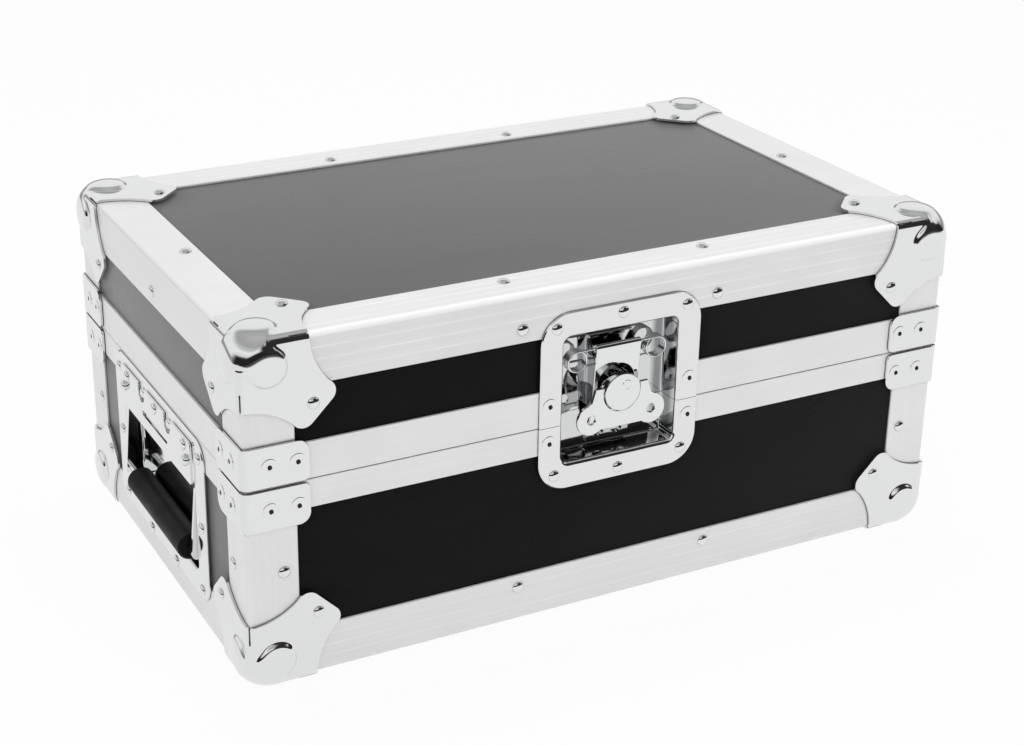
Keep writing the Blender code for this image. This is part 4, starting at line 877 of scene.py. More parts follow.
def make_laminate():
    """Black phenolic laminate: a fine orange-peel grain, faint wiping smears and hair scratches.

    A painted sheen pales the colour at glancing angles, beside the shader's own sheen.
    """
    graph = new_finish("laminate", LAMINATE_COLOUR, metallic=0.0, roughness=0.3)
    smears = graph.noise(
        scale=7.0, detail=6.0, stretch=(1.0, 2.2, 1.6), roughness=0.62, distortion=1.1
    )
    grain = graph.noise(scale=1500.0, detail=2.0)
    hairs = graph.noise(scale=60.0, detail=3.0, stretch=(0.06, 1.0, 1.0), distortion=0.3)
    colour = graph.mix(graph.span(smears, LAMINATE_DUST_TURN), LAMINATE_COLOUR, LAMINATE_DUST)
    # Painted sheen: Layer Weight mixes white into the colour at glancing angles
    glance = graph.add("LayerWeight", {"Blend": 0.5}, "Facing")
    painted_sheen = graph.span(glance, LAMINATE_PAINTED_SHEEN_TURN, (0.0, LAMINATE_PAINTED_SHEEN))
    graph.dress({
        "Specular IOR Level": LAMINATE_SPECULAR,
        "Sheen Weight": LAMINATE_SHEEN, "Sheen Roughness": LAMINATE_SHEEN_ROUGHNESS,
        "Roughness": graph.span(smears, results=LAMINATE_ROUGHNESS),
        "Base Color": graph.mix(painted_sheen, colour, 1.0),
    })
    graph.bump(grain, distance=0.00003, strength=0.5)
    graph.bump(graph.span(hairs, LAMINATE_HAIR_TURN), distance=0.00002, strength=0.3)


def make_rubber():
    graph = new_finish("rubber", RUBBER_COLOUR, metallic=0.0, roughness=0.5)
    variation = graph.noise(scale=40.0, detail=4.0)
    rough = graph.span(variation, results=RUBBER_ROUGHNESS)
    graph.dress({"Specular IOR Level": RUBBER_SPECULAR, "Roughness": rough})
    graph.bump(graph.noise(scale=900.0, detail=3.0), distance=0.00008, strength=0.4)


def make_foam():
    """Open-cell foam: pores, painted shade in their hollows, a slight unevenness of tone and no
    gloss.
    """
    graph = new_finish("foam", FOAM_COLOUR, metallic=0.0, roughness=0.95)
    at = graph.add("TexCoord", output="Object")
    pores = graph.add("TexVoronoi", {"Scale": FOAM_PORES, "Vector": at}, "Distance")
    # Painted shade: the pores' hollows are darker
    colour = graph.mix(graph.span(pores, FOAM_PORE_TURN), FOAM_PORE_SHADE, FOAM_COLOUR)
    graph.dress({
        "Specular IOR Level": FOAM_SPECULAR, "Sheen Weight": FOAM_SHEEN,
        "Sheen Roughness": FOAM_SHEEN_ROUGHNESS, "Base Color": colour,
    })
    graph.bump(pores, distance=0.0004, strength=0.8)
    graph.bump(graph.noise(scale=400.0, detail=4.0), distance=0.0005, strength=0.4)


def make_shadow():
    """Painted shadow: a dark finish for the inside of a rivet's hole."""
    graph = new_finish("shadow", HOLE_SHADOW_TONE, HOLE_METALLIC, roughness=0.5)
    marks = graph.noise(scale=500.0, detail=3.0)
    graph.dress({"Roughness": graph.span(marks, results=HOLE_ROUGHNESS)})


def angle_outline(leg, thickness, radius, recess=0.0, tip=EDGE_TIP_CHAMFER, grooves=()):
    """The section of an angle whose ridge is at the origin, with V grooves along both legs."""
    near, far = recess, recess + thickness
    side = [(leg, near + tip), (leg - tip, near)] if tip else [(leg, near)]
    for groove in sorted(grooves, reverse=True):
        half = GROOVE_WIDTH / 2
        side += [(groove + half, near), (groove, near + GROOVE_DEPTH), (groove - half, near)]
    ridge = arc((near + radius, near + radius), radius, -90, -180, ROUND_STEPS)
    other_side = [(v, u) for u, v in reversed(side)]
    return [(leg, far), *side, *ridge, *other_side, (far, leg), (far, far)]


def edging():
    """The grooved angles along the eight horizontal edges, mitred where they meet."""
    section = angle_outline(EDGE_LEG, EDGE_THICKNESS, EDGE_RIDGE_RADIUS, grooves=GROOVE_PLACES)
    past_leg = EDGE_LEG + PAST
    # A wedge that cuts an angle's near end. Its first number is along the angle.
    wedge = [(MITRE_OFFSET - PAST, -PAST), (past_leg + MITRE_OFFSET, past_leg), (-PAST, past_leg)]
    for axis, half_run, half_across, ends, order in (
        ("x", HALF_LENGTH, HALF_DEPTH, ENDS, 1), ("y", HALF_DEPTH, HALF_LENGTH, SIDES, -1),
    ):
        run = half_run - EDGE_END_INSET
        angle = prism(moved(section, -half_across), axis, -run, run)
        cutters = []
        for sign in (1, -1):
            outline = [(sign * (u - half_run), v - half_across)[::order] for u, v in wedge]
            cutters.append(prism(outline, "z", -PAST, past_leg))
        cut(angle, *cutters)
        spread(angle, "edge", "profile", f"aluminium_{axis}", PARTS, ends)


def swept_profile(section):
    """Runs a profile round the case from one side of the latch to the other.

    A section point is (distance in from the outer face, height). The outer vertical corners
    have the same ridge radius as the edging, and the inner ones are square.
    """
    loops = [[(LATCH_CUT_HALF, n - HALF_DEPTH, z) for n, z in section]]
    for start, sx, sy in ((-90, 1, -1), (0, 1, 1), (90, -1, 1), (180, -1, -1)):
        for step in range(ROUND_STEPS + 1):
            turn = radians(start + 90 * step / ROUND_STEPS)
            loop = []
            for n, z in section:
                inset = EDGE_RIDGE_RADIUS if n < PROFILE_FACE_THICKNESS else n
                loop.append((
                    sx * (HALF_LENGTH - inset) + (inset - n) * cos(turn),
                    sy * (HALF_DEPTH - inset) + (inset - n) * sin(turn),
                    z,
                ))
            loops.append(loop)
    loops.append([(-LATCH_CUT_HALF, n - HALF_DEPTH, z) for n, z in section])
    return loft(loops)


def closing_section(sign, height, half, taper, top, web):
    """The section of a closing profile, with its tongue or groove, below or above the parting."""
    face, inner = PROFILE_FACE_THICKNESS, PROFILE_INNER - PROFILE_INNER_THICKNESS
    gap = sign * HALF_GAP
    section = [
        (0, sign * height), (0, gap + sign * PROFILE_CHAMFER), (PROFILE_CHAMFER, gap),
        (TONGUE_INSET - half, gap), (TONGUE_INSET - half + taper, top),
        (TONGUE_INSET + half - taper, top), (TONGUE_INSET + half, gap),
        (PROFILE_INNER, gap), (PROFILE_INNER, sign * PROFILE_INNER_HEIGHT),
        (inner, sign * PROFILE_INNER_HEIGHT), (inner, web), (face, web), (face, sign * height),
    ]
    return moved(section, 0.0, PARTING_HEIGHT)


def closing_frames():
    """The tongue and groove profiles at the parting line, and the angles on the upright corners."""
    half = TONGUE_WIDTH / 2
    groove = half + TONGUE_SIDE_CLEARANCE
    web_bottom, web_top = BASE_WEB_BOTTOM - PARTING_HEIGHT, LID_WEB_TOP - PARTING_HEIGHT
    for part, section in (
        ("base", (-1, BASE_PROFILE_HEIGHT, half, TONGUE_TAPER, TONGUE_HEIGHT, web_bottom)),
        ("lid", (1, LID_PROFILE_HEIGHT, groove, 0, GROOVE_TOP, web_top)),
    ):
        node = f"{part}_closing_frame"
        ring = swept_profile(closing_section(*section))
        place(ring, f"{node}_profile", part, "aluminium_ring", UNTURNED, node)
        discard(ring)

    ridge = EDGE_RIDGE_RADIUS - POST_RECESS
    outline = angle_outline(EDGE_LEG, EDGE_THICKNESS - 2 * POST_RECESS, ridge, POST_RECESS)
    for part, low, high in (
        ("base", EDGE_LEG + FIT_GAP, PARTING_HEIGHT - BASE_PROFILE_HEIGHT - FIT_GAP),
        ("lid", PARTING_HEIGHT + LID_PROFILE_HEIGHT + FIT_GAP, CASE_HEIGHT - EDGE_LEG - FIT_GAP),
    ):
        post = prism(moved(outline, -HALF_LENGTH, -HALF_DEPTH), "z", low, high)
        for where, matrix in UPRIGHTS.items():
            name = f"{part}_{where}_post"
            node = name if part == "base" else None
            place(post, f"{name}_profile", part, "aluminium_z", matrix, node)
        discard(post)


def lobe_outside():
    """Everything outside a ball corner's plate, for a plate whose two ridges lie on the axes."""
    centre = (CORNER_REACH + LOBE_CURVE_RADIUS, 0)
    curve = arc(centre, LOBE_CURVE_RADIUS, 180, 180 - LOBE_CURVE_SWEEP, LOBE_CURVE_STEPS)
    edge = [*curve, LOBE_CORNER]
    points = [*edge, *[(v, u) for u, v in reversed(edge)]]
    radii = [LOBE_ROUND if p in (LOBE_CORNER, LOBE_CORNER[::-1]) else 0 for p in points]
    plate = rounded_outline(points, radii)
    past_ridge = CORNER_REACH + LOBE_END_SLANT
    return [*plate, (-FAR, past_ridge), (-FAR, FAR), (FAR, FAR), (FAR, -FAR), (past_ridge, -FAR)]


def corner_slit():
    """The outline, square to a ridge, of the slit between two plates."""
    deep = Vector((1, 1)).normalized() * CORNER_SLIT_DEPTH
    wide = Vector((1, -1)).normalized() * (CORNER_SLIT_WIDTH / 2)
    return [tuple(p) for p in (-deep - wide, -deep + wide, deep + wide, deep - wide)]


def corner_brackets():
    """The folded plates that tie the closing frames to the upright corners."""
    near = FIT_GAP + BRACKET_THICKNESS
    outline = angle_outline(BRACKET_LEG + near, BRACKET_THICKNESS, BRACKET_RIDGE_RADIUS, tip=0)
    top = PARTING_HEIGHT - BRACKET_PARTING_GAP
    bottom = top - BRACKET_HEIGHT
    bracket = prism(moved(outline, -near - HALF_LENGTH, -near - HALF_DEPTH), "z", bottom, top)
    bm = bmesh.new()
    bm.from_mesh(bracket.data)
    tips = (BRACKET_LEG - HALF_LENGTH, BRACKET_LEG - HALF_DEPTH)
    for height, radius in ((bottom, BRACKET_FAR_ROUND), (top, BRACKET_NEAR_ROUND)):

        def is_at_tip(edge, i):
            return all(
                abs(v.co.z - height) < TOUCHING and abs(v.co[i] - tips[i]) < TIP_NEAR
                for v in edge.verts
            )

        bmesh.ops.bevel(
            bm, geom=[edge for edge in bm.edges if is_at_tip(edge, 0) or is_at_tip(edge, 1)],
            offset=radius, offset_type="OFFSET", segments=ROUND_STEPS, profile=0.5, affect="EDGES",
        )
    bm.to_mesh(bracket.data)
    bm.free()
    chamfered(bracket)
    parts = {"base": UNTURNED, "lid": PARTING_MIRROR}
    spread(bracket, "bracket", "steel", "chrome", parts, UPRIGHTS)


def front_face(x, z, depth):
    """A point at a depth behind the case's front face."""
    return x, depth - HALF_DEPTH, z


def left_face(y, z, depth):
    """A point at a depth behind the case's left face."""
    return depth - HALF_LENGTH, y, z


def pressed_dish(to_case, plate, opening, depth):
    """A flanged dish pressed from sheet.

    The plate and the opening are (width, bottom, top, corner radius).
    """

    def loop(outline, growth, d, steps=ROUND_STEPS):
        """The plate's or opening's outline, grown, at a depth below the case's face."""
        width, bottom, top, radius = outline
        low, high = (-width / 2 - growth, bottom - growth), (width / 2 + growth, top + growth)
        points = rounded_rectangle(low, high, radius + growth, steps)
        return [to_case(u, v, d) for u, v in points]

    front, back = -FIT_GAP - DISH_SHEET, depth + DISH_SHEET
    dish = loft([
        loop(plate, -FLANGE_EDGE, front, WIDE_ROUND_STEPS),
        loop(plate, 0, front + FLANGE_EDGE, WIDE_ROUND_STEPS),
        loop(plate, 0, -FIT_GAP, WIDE_ROUND_STEPS),
    ])
    outside = DISH_SHEET - DISH_DRAFT
    join(dish, loft([
        loop(opening, DISH_SHEET, front + DISH_SHEET / 2, HIDDEN_STEPS),
        loop(opening, outside, back - DISH_FLOOR_ROUND / 2, HIDDEN_STEPS),
        loop(opening, outside - DISH_FLOOR_ROUND / 2, back, HIDDEN_STEPS),
    ]))
    loops = [loop(opening, RIM_ROUND, front - PAST)]
    for turn in map(radians, RIM_ANGLES):
        growth = RIM_ROUND * (1 - sin(turn))
        loops.append(loop(opening, growth, front + RIM_ROUND * (1 - cos(turn))))
    for turn in map(radians, QUARTER_ANGLES):
        inward = DISH_DRAFT + DISH_FLOOR_ROUND * (1 - cos(turn))
        loops.append(loop(opening, -inward, depth - DISH_FLOOR_ROUND * (1 - sin(turn))))
    return cut(dish, loft(loops))


def latch_dishes():
    """One pressing either side of the parting line, with the hook's bracket and its keeper."""
    whole = pressed_dish(
        front_face, (LATCH_WIDTH, LATCH_BOTTOM, LATCH_TOP, LATCH_CORNER_RADIUS),
        (LATCH_OPENING_WIDTH, LATCH_OPENING_BOTTOM, LATCH_OPENING_TOP, LATCH_OPENING_RADIUS),
        LATCH_DEPTH,
    )
    lower = new_object("shape", whole.data.copy())
    y0, y1 = -HALF_DEPTH - FAR, -HALF_DEPTH + FAR
    cut(whole, box((-FAR, y0, -FAR), (FAR, y1, PARTING_HEIGHT + HALF_GAP)))
    cut(lower, box((-FAR, y0, PARTING_HEIGHT - HALF_GAP), (FAR, y1, CASE_HEIGHT + FAR)))

    embedded = LATCH_DEPTH + DISH_SHEET / 2
    plate_half = HALF_HOOK - BRACKET_PLATE_INSET
    plate = box(
        front_face(-plate_half, BRACKET_PLATE_BOTTOM, BRACKET_PLATE_FRONT),
        front_face(plate_half, BRACKET_PLATE_TOP, embedded),
    )

    def cheek_front(z):
        return HOOK_FRONT + HOOK_LEAN * (HOOK_FRONT_HEIGHT - z) + HOOK_SHEET + FIT_GAP

    inside = LATCH_DEPTH - DISH_SHEET / 2
    cheek = moved([
        (inside, BRACKET_PLATE_BOTTOM), (cheek_front(BRACKET_PLATE_BOTTOM), BRACKET_PLATE_BOTTOM),
        (cheek_front(CHEEK_TOP), CHEEK_TOP), (inside, BRACKET_PLATE_TOP),
    ], -HALF_DEPTH)
    join(plate, *[prism(cheek, "x", sign * CHEEK_INNER, sign * HALF_HOOK) for sign in (-1, 1)])
    keep(join(whole, plate), "latch_lid_dish", "lid", "pressed_chrome")

    keeper_front = LATCH_DEPTH - KEEPER_PLATE
    lip_front = HOOK_TOE_DEPTH + HOOK_SHEET + KEEPER_LIP_CLEARANCE
    keeper = prism(moved([
        (embedded, KEEPER_BOTTOM), (keeper_front, KEEPER_BOTTOM),
        (keeper_front, KEEPER_TOP - KEEPER_PLATE), (lip_front, KEEPER_TOP - KEEPER_PLATE),
        (lip_front, KEEPER_TOP), (embedded, KEEPER_TOP),
    ], -HALF_DEPTH), "x", -KEEPER_WIDTH / 2, KEEPER_WIDTH / 2)
    reach = (lip_front - HALF_DEPTH, keeper_front + KEEPER_HOLE_DEPTH - HALF_DEPTH)
    for sign in (-1, 1):
        hole = (sign * KEEPER_HOLE_OFFSET, KEEPER_HOLE_HEIGHT)
        cut(keeper, tube(hole, "y", KEEPER_HOLE_RADIUS, *reach))
    keep(join(lower, keeper), "latch_base_dish", "base", "pressed_chrome")


def latch_hook():
    """The sliding plate: rolled round the spring at its top, and bent to reach past the keeper."""
    roll = (HOOK_ROLL_DEPTH, HOOK_ROLL_HEIGHT)
    steps = 2 * WIDE_ROUND_STEPS
    face = [
        (HOOK_FRONT, HOOK_FRONT_HEIGHT), (HOOK_LOWER_DEPTH, HOOK_BEND_HEIGHT),
        (HOOK_TOE_DEPTH, HOOK_TOE_HEIGHT),
    ]
    outline = [
        *arc(roll, HOOK_ROLL_RADIUS, HOOK_ROLL_START, HOOK_ROLL_END, steps),
        *arc(roll, HOOK_ROLL_BORE, HOOK_ROLL_END, HOOK_BORE_END, steps),
        *moved(face, HOOK_SHEET), *reversed(face),
    ]
    hook = prism(moved(outline, -HALF_DEPTH), "x", -HALF_HOOK, HALF_HOOK)
    radius = DRUM_RADIUS + DRUM_SLOT_CLEARANCE
    slot = [
        *arc((0, DRUM_HEIGHT), radius, 180, 360, BIG_TUBE_SEGMENTS // 4),
        *arc((0, DRUM_HEIGHT + HOOK_TRAVEL), radius, 0, 180, BIG_TUBE_SEGMENTS // 4),
    ]
    cut(hook, prism(slot, "y", -HALF_DEPTH, -HALF_DEPTH + FAR))
    keep(chamfered(hook), "latch_hook_plate", "latch_hook", "chrome")


def latch_spring():
    """One length of wire: a coil at each side, joined by a straight that runs through the roll."""
    radius = SPRING_COIL_RADIUS
    steps = int(SPRING_TURNS * POINTS_PER_TURN)
    leg_end = HALF_HOOK + FIT_GAP
    right = [(x, -radius, SPRING_BACK) for x in (leg_end, leg_end + SPRING_WIRE)]
    for step in range(steps + 1):
        turn = 2 * pi * step / POINTS_PER_TURN
        depth = SPRING_BACK + (HOOK_ROLL_DEPTH - SPRING_BACK) * step / steps
        right.append((SPRING_COIL_OFFSET + radius * sin(turn), -radius * cos(turn), depth))
    left = [(-x, z, depth) for x, z, depth in reversed(right)]
    centre_height = HOOK_ROLL_HEIGHT - radius
    path = [front_face(x, z + centre_height, depth) for x, z, depth in (*right, *left)]

    curve = bpy.data.curves.new("spring_path", "CURVE")
    curve.dimensions = "3D"
    curve.bevel_depth, curve.bevel_resolution = SPRING_WIRE / 2, 4
    curve.use_fill_caps = True
    spline = curve.splines.new("POLY")
    spline.points.add(len(path) - 1)
    for point, co in zip(spline.points, path):
        point.co = (*co, 1)
    wire = new_object("wire", curve)
    spring = new_object("shape", evaluated(wire))
    discard(wire)
    keep(spring, "latch_spring", "latch_hook", "zinc")


def latch_drum():
    """The turning barrel that the wing is hinged to."""
    rims = [(DRUM_RADIUS, DRUM_BACK)]
    for turn in map(radians, QUARTER_ANGLES):
        inward, back = DRUM_EDGE_ROUND * (1 - cos(turn)), DRUM_EDGE_ROUND * (1 - sin(turn))
        rims.append((DRUM_RADIUS - inward, back - DRUM_PROUD))
    drum = loft([
        [front_face(x, z, d) for x, z in circle((0, DRUM_HEIGHT), r, BIG_TUBE_SEGMENTS)]
        for r, d in rims
    ])
    radius = WING_PIN_RADIUS + WING_PIN_CLEARANCE
    for sign in (-1, 1):
        ends = sorted((sign * WING_BORE_REACH, sign * FAR))
        cut(drum, tube(WING_AXLE, "x", radius, *ends, PIN_SEGMENTS))
    keep(drum, "latch_drum", "latch_key", "chrome")
    mark = revolve(DRUM_MARK, TUBE_SEGMENTS)
    dx, dz = DRUM_MARK_PLACE
    on_drum = Matrix.Translation((dx, -DRUM_PROUD - HALF_DEPTH, DRUM_HEIGHT + dz)) @ TO_FRONT
    place(mark, "drum_mark", "latch_key", "chrome", on_drum)
    discard(mark)


def latch_wing():
    """The folding key: arms down either side of the drum, ending in two pierced ears."""
    inner = DRUM_RADIUS + WING_CLEARANCE
    right = [
        *arc((0, 0), inner, -90, 0, WIDE_ROUND_STEPS),
        (inner, WING_ARM_RISE), (WING_ARM_REACH, WING_ARM_RISE), WING_SHOULDER,
        *arc(WING_EAR, WING_EAR_RADIUS, WING_EAR_START, WING_EAR_END, TUBE_SEGMENTS),
    ]
    front = -WING_AXIS_PROUD - WING_THICKNESS / 2 - HALF_DEPTH
    outline = moved(mirrored(right, 1), 0.0, DRUM_HEIGHT)
    wing = prism(outline, "y", front, front + WING_THICKNESS)
    for sign in (-1, 1):
        hole = (sign * WING_EAR[0], WING_EAR[1] + DRUM_HEIGHT)
        cut(wing, tube(hole, "y", WING_EAR_HOLE, -HALF_DEPTH - FAR, -HALF_DEPTH + FAR))
        ends = sorted((sign * WING_PIN_REACH, sign * (inner + WING_PIN_RADIUS)))
        join(wing, tube(WING_AXLE, "x", WING_PIN_RADIUS, *ends, PIN_SEGMENTS))
    keep(chamfered(wing), "latch_wing", "latch_wing", "chrome")


def handle_cover():
    """The plate over the handle's spring, notched round two rivets and pierced by a slot."""
    plate = rounded_rectangle(
        (-COVER_WIDTH / 2, COVER_BOTTOM), (COVER_WIDTH / 2, COVER_TOP), COVER_ROUND
    )
    near = -2 * FIT_GAP - DISH_SHEET
    cover = prism(plate, "x", near - COVER_THICKNESS - HALF_LENGTH, near - HALF_LENGTH)
    reach = (-HALF_LENGTH - FAR, -HALF_LENGTH + FAR)
    notch_z, radius = COVER_TOP - COVER_NOTCH_DROP, COVER_NOTCH_RADIUS
    for y in (-COVER_NOTCH_OFFSET, COVER_NOTCH_OFFSET):
        notch = [
            *arc((y, notch_z), radius, 180, 360, 2 * WIDE_ROUND_STEPS),
            (y + radius, COVER_TOP + PAST), (y - radius, COVER_TOP + PAST),
        ]
        cut(cover, prism(notch, "x", *reach))
    half_length, half_width = COVER_SLOT_LENGTH / 2, COVER_SLOT_WIDTH / 2
    slot_z = COVER_TOP - COVER_SLOT_DROP
    slot = rounded_rectangle(
        (-half_length, slot_z - half_width), (half_length, slot_z + half_width), COVER_SLOT_ROUND
    )
    return cut(cover, prism(slot, "x", *reach))


def handle_bail():
    """The arms, the rod through the grip and the studs that they swing on, as one forging."""
    pivot, grip = Vector(HANDLE_PIVOT), Vector(HANDLE_GRIP)
    start = -180 * Vector((1, 0)).angle_signed(grip - pivot) / pi
    half_width = BAIL_ARM_WIDTH / 2
    arm = [
        *arc(grip, half_width, start - 90, start + 90, WIDE_ROUND_STEPS),
        *arc(pivot, half_width, start + 90, start + 270, WIDE_ROUND_STEPS),
    ]
    outer, inner = BAIL_SPAN / 2, BAIL_SPAN / 2 - BAIL_ARM_THICKNESS
    middle = (outer + inner) / 2
    rod_end = HANDLE_OPENING_WIDTH / 2 + DISH_SHEET / 2
    return join(
        tube(grip, "y", GRIP_ROD_RADIUS, -middle, middle),
        prism(arm, "y", -outer, -inner), prism(arm, "y", inner, outer),
        tube(pivot, "y", PIVOT_ROD_RADIUS, -rod_end, -middle),
        tube(pivot, "y", PIVOT_ROD_RADIUS, middle, rod_end),
    )


def handle_grip():
    """The rubber sleeve on the bail's rod, which has slid toward the front."""
    front, back = -GRIP_SLIP - GRIP_LENGTH / 2, -GRIP_SLIP + GRIP_LENGTH / 2
    ends = (
        (front, GRIP_RADIUS - GRIP_END_ROUND), (front + GRIP_END_ROUND, GRIP_RADIUS),
        (back - GRIP_END_ROUND, GRIP_RADIUS), (back, GRIP_RADIUS - GRIP_END_ROUND),
    )
    grip = loft([
        [(x, y, z) for x, z in circle(HANDLE_GRIP, radius, 2 * TUBE_SEGMENTS)]
        for y, radius in ends
    ])
    return cut(grip, tube(HANDLE_GRIP, "y", GRIP_ROD_RADIUS + FIT_GAP, -FAR, FAR))


def handles():
    """A sprung bail handle in a dish at each end of the base."""
    dish = pressed_dish(
        left_face, (HANDLE_WIDTH, HANDLE_BOTTOM, HANDLE_TOP, HANDLE_CORNER_RADIUS),
        (HANDLE_OPENING_WIDTH, HANDLE_OPENING_BOTTOM, HANDLE_OPENING_TOP, HANDLE_OPENING_RADIUS),
        HANDLE_DEPTH,
    )
    bore = HANDLE_OPENING_WIDTH / 2 + DISH_SHEET + PAST
    cut(dish, tube(HANDLE_PIVOT, "y", PIVOT_ROD_RADIUS + FIT_GAP, -bore, bore))
    shapes = {"dish": dish, "cover": handle_cover(), "bail": handle_bail(), "grip": handle_grip()}
    for kind, shape in shapes.items():
        for side, matrix in SIDES.items():
            body = f"{side}_handle" if kind in ("bail", "grip") else "base"
            node = f"{side}_handle_{kind}"
            finish = "rubber" if kind == "grip" else "chrome"
            place(shape, f"{node}_piece", body, finish, matrix, node)
        discard(shape)


def hinges():
    """Two pairs of leaves on the back, whose knuckles turn on a pin fixed in the base leaf."""
    axle = (HALF_DEPTH + HINGE_AXIS_PROUD, PARTING_HEIGHT)
    half, clear = HINGE_LENGTH / 2, HINGE_AXIS_PROUD + FIT_GAP / 2
    knuckle_end = half - HINGE_LEAF_TRIM
    end_inner = knuckle_end - HINGE_END_KNUCKLE
    tooth, middle = end_inner + HINGE_LEAF_TRIM, end_inner - FIT_GAP
    lid_tooth = middle - HINGE_LEAF_TRIM

    def leaf_plate(*right_half):
        near = HALF_DEPTH + FIT_GAP
        outline = moved(mirrored(right_half), 0.0, PARTING_HEIGHT)
        return prism(outline, "y", near, near + HINGE_LEAF)

    lower = join(
        leaf_plate((half, -HINGE_BASE_LEAF_BOTTOM), (half, 0), (tooth, 0), (tooth, -clear)),
        tube(axle, "x", HINGE_KNUCKLE_RADIUS, -knuckle_end, -end_inner),
        tube(axle, "x", HINGE_KNUCKLE_RADIUS, end_inner, knuckle_end),
        tube(axle, "x", HINGE_PIN_RADIUS, -end_inner - PAST, end_inner + PAST),
    )
    upper = join(
        leaf_plate((lid_tooth, 0), (lid_tooth, clear), (half, clear), (half, HINGE_LID_LEAF_TOP)),
        tube(axle, "x", HINGE_KNUCKLE_RADIUS, -middle, middle),
    )
    cut(upper, tube(axle, "x", HINGE_PIN_RADIUS + HINGE_PIN_CLEARANCE, -half, half))
    for shape, part in ((lower, "base"), (upper, "lid")):
        for side, sign in (("left", -1), ("right", 1)):
            shift = Matrix.Translation((sign * HINGE_OFFSET, 0, 0))
            node = f"{side}_hinge_{part}_leaf"
            place(shape, f"{node}_steel", part, "zinc", shift, node)
        discard(shape)


def foam():
    """The lining: a block in the base with a pocket for the player, and a pad in the lid."""
    edge_x = HALF_LENGTH - PANEL_INNER - FOAM_CLEARANCE
    edge_y = HALF_DEPTH - PANEL_INNER - FOAM_CLEARANCE
    bottom, top = PANEL_INNER + FOAM_CLEARANCE, PARTING_HEIGHT - FOAM_TOP_BELOW_PARTING
    block = box((-edge_x, -edge_y, bottom), (edge_x, edge_y, top))

    def hollow(half_x, half_y, floor):
        outline = rounded_rectangle((-half_x, -half_y), (half_x, half_y), POCKET_RADIUS)
        return prism(outline, "z", floor, CASE_HEIGHT)

    half_pocket = POCKET_LENGTH / 2
    relief_half = LATCH_CUT_HALF + LATCH_RELIEF
    relief_back = LATCH_DEPTH + DISH_SHEET + LATCH_RELIEF_BEHIND - HALF_DEPTH
    relief_low = LATCH_CUT_BOTTOM - LATCH_RELIEF
    relief_high = LATCH_OPENING_TOP + DISH_SHEET + LATCH_RELIEF
    cut(
        block, hollow(half_pocket, POCKET_WIDTH / 2, POCKET_FLOOR),
        hollow(half_pocket + FINGER_CUT_DEPTH, FINGER_CUT_WIDTH / 2, FINGER_CUT_FLOOR),
        box((-relief_half, -HALF_DEPTH, relief_low), (relief_half, relief_back, CASE_HEIGHT)),
    )
    keep(chamfered(block, FOAM_EDGE), "base_foam", "base", "foam")

    lid_top = CASE_HEIGHT - PANEL_INNER - FOAM_CLEARANCE
    pad = box((-edge_x, -edge_y, lid_top - LID_FOAM_THICKNESS), (edge_x, edge_y, lid_top))
    cut(pad, box((-relief_half, -HALF_DEPTH, 0), (relief_half, relief_back, relief_high)))
    keep(chamfered(pad, FOAM_EDGE), "lid_foam", "lid", "foam")


def soft_max(a, b, width):
    """The larger of two distances, rounded over a width where they cross."""
    mix = np.clip(0.5 + 0.5 * (a - b) / width, 0, 1)
    return b + (a - b) * mix + width * mix * (1 - mix)


def corner_distance(p):
    """Signed distance, roughly, to a rounded case corner with a flattened ball blended into it.

    p is an array of points in the corner's octant, whose three ridges run along the axes.
    """
    q = EDGE_RIDGE_RADIUS - p
    block = np.linalg.norm(np.maximum(q, 0), axis=1) + np.minimum(q.max(axis=1), 0)
    block = np.maximum(block - EDGE_RIDGE_RADIUS - CORNER_PROUD, DOME_CENTRE - p.max(axis=1))
    dome = np.linalg.norm(p - DOME_CENTRE, axis=1) - DOME_RADIUS
    for i in range(3):
        dome = soft_max(dome, -DOME_PROUD - p[:, i], DOME_FLAT_ROUND)
    for i in range(3):
        first, second = (np.delete(p, i, axis=1) - DOME_CENTRE).T
        outward = np.maximum(first + second, 0)
        reach = DOME_REACH + np.where(p[:, i] < 0, DOME_DRAFT, DOME_SPREAD) * p[:, i]
        wall = np.hypot(outward, first - second) / np.sqrt(2) - reach
        dome = soft_max(dome, wall, DOME_WALL_ROUND)
    return -soft_max(-block, -dome, DOME_BLEND)


def corner_skin(sheet):
    """Points of the pressed corner's outer face, or its inner face one sheet further in.

    Each of the three faces is a square grid, and each grid point slides along its ray from inside
    the case until it meets the face.
    """
    steps = np.concatenate([
        np.linspace(-CORNER_PROUD, CORNER_FINE, CORNER_GRID, endpoint=False),
        np.linspace(CORNER_FINE, CORNER_BLOCK, CORNER_GRID // 2),
    ])
    count = len(steps)
    grid = np.stack(np.meshgrid(steps, steps, indexing="ij"), axis=-1).reshape(-1, 2)
    faces = []
    for axis in range(3):
        ray = np.insert(grid, axis, -CORNER_PROUD, axis=1) - CORNER_HEART
        ray /= np.linalg.norm(ray, axis=1)[:, None]
        low, high = np.zeros(len(ray)), np.full(len(ray), 3 * CORNER_BLOCK)
        for _ in range(HALVINGS):
            middle = (low + high) / 2
            inside = corner_distance(CORNER_HEART + ray * middle[:, None]) < -sheet
            low, high = np.where(inside, middle, low), np.where(inside, high, middle)
        faces.append((CORNER_HEART + ray * low[:, None]).reshape(count, count, 3))
    return faces


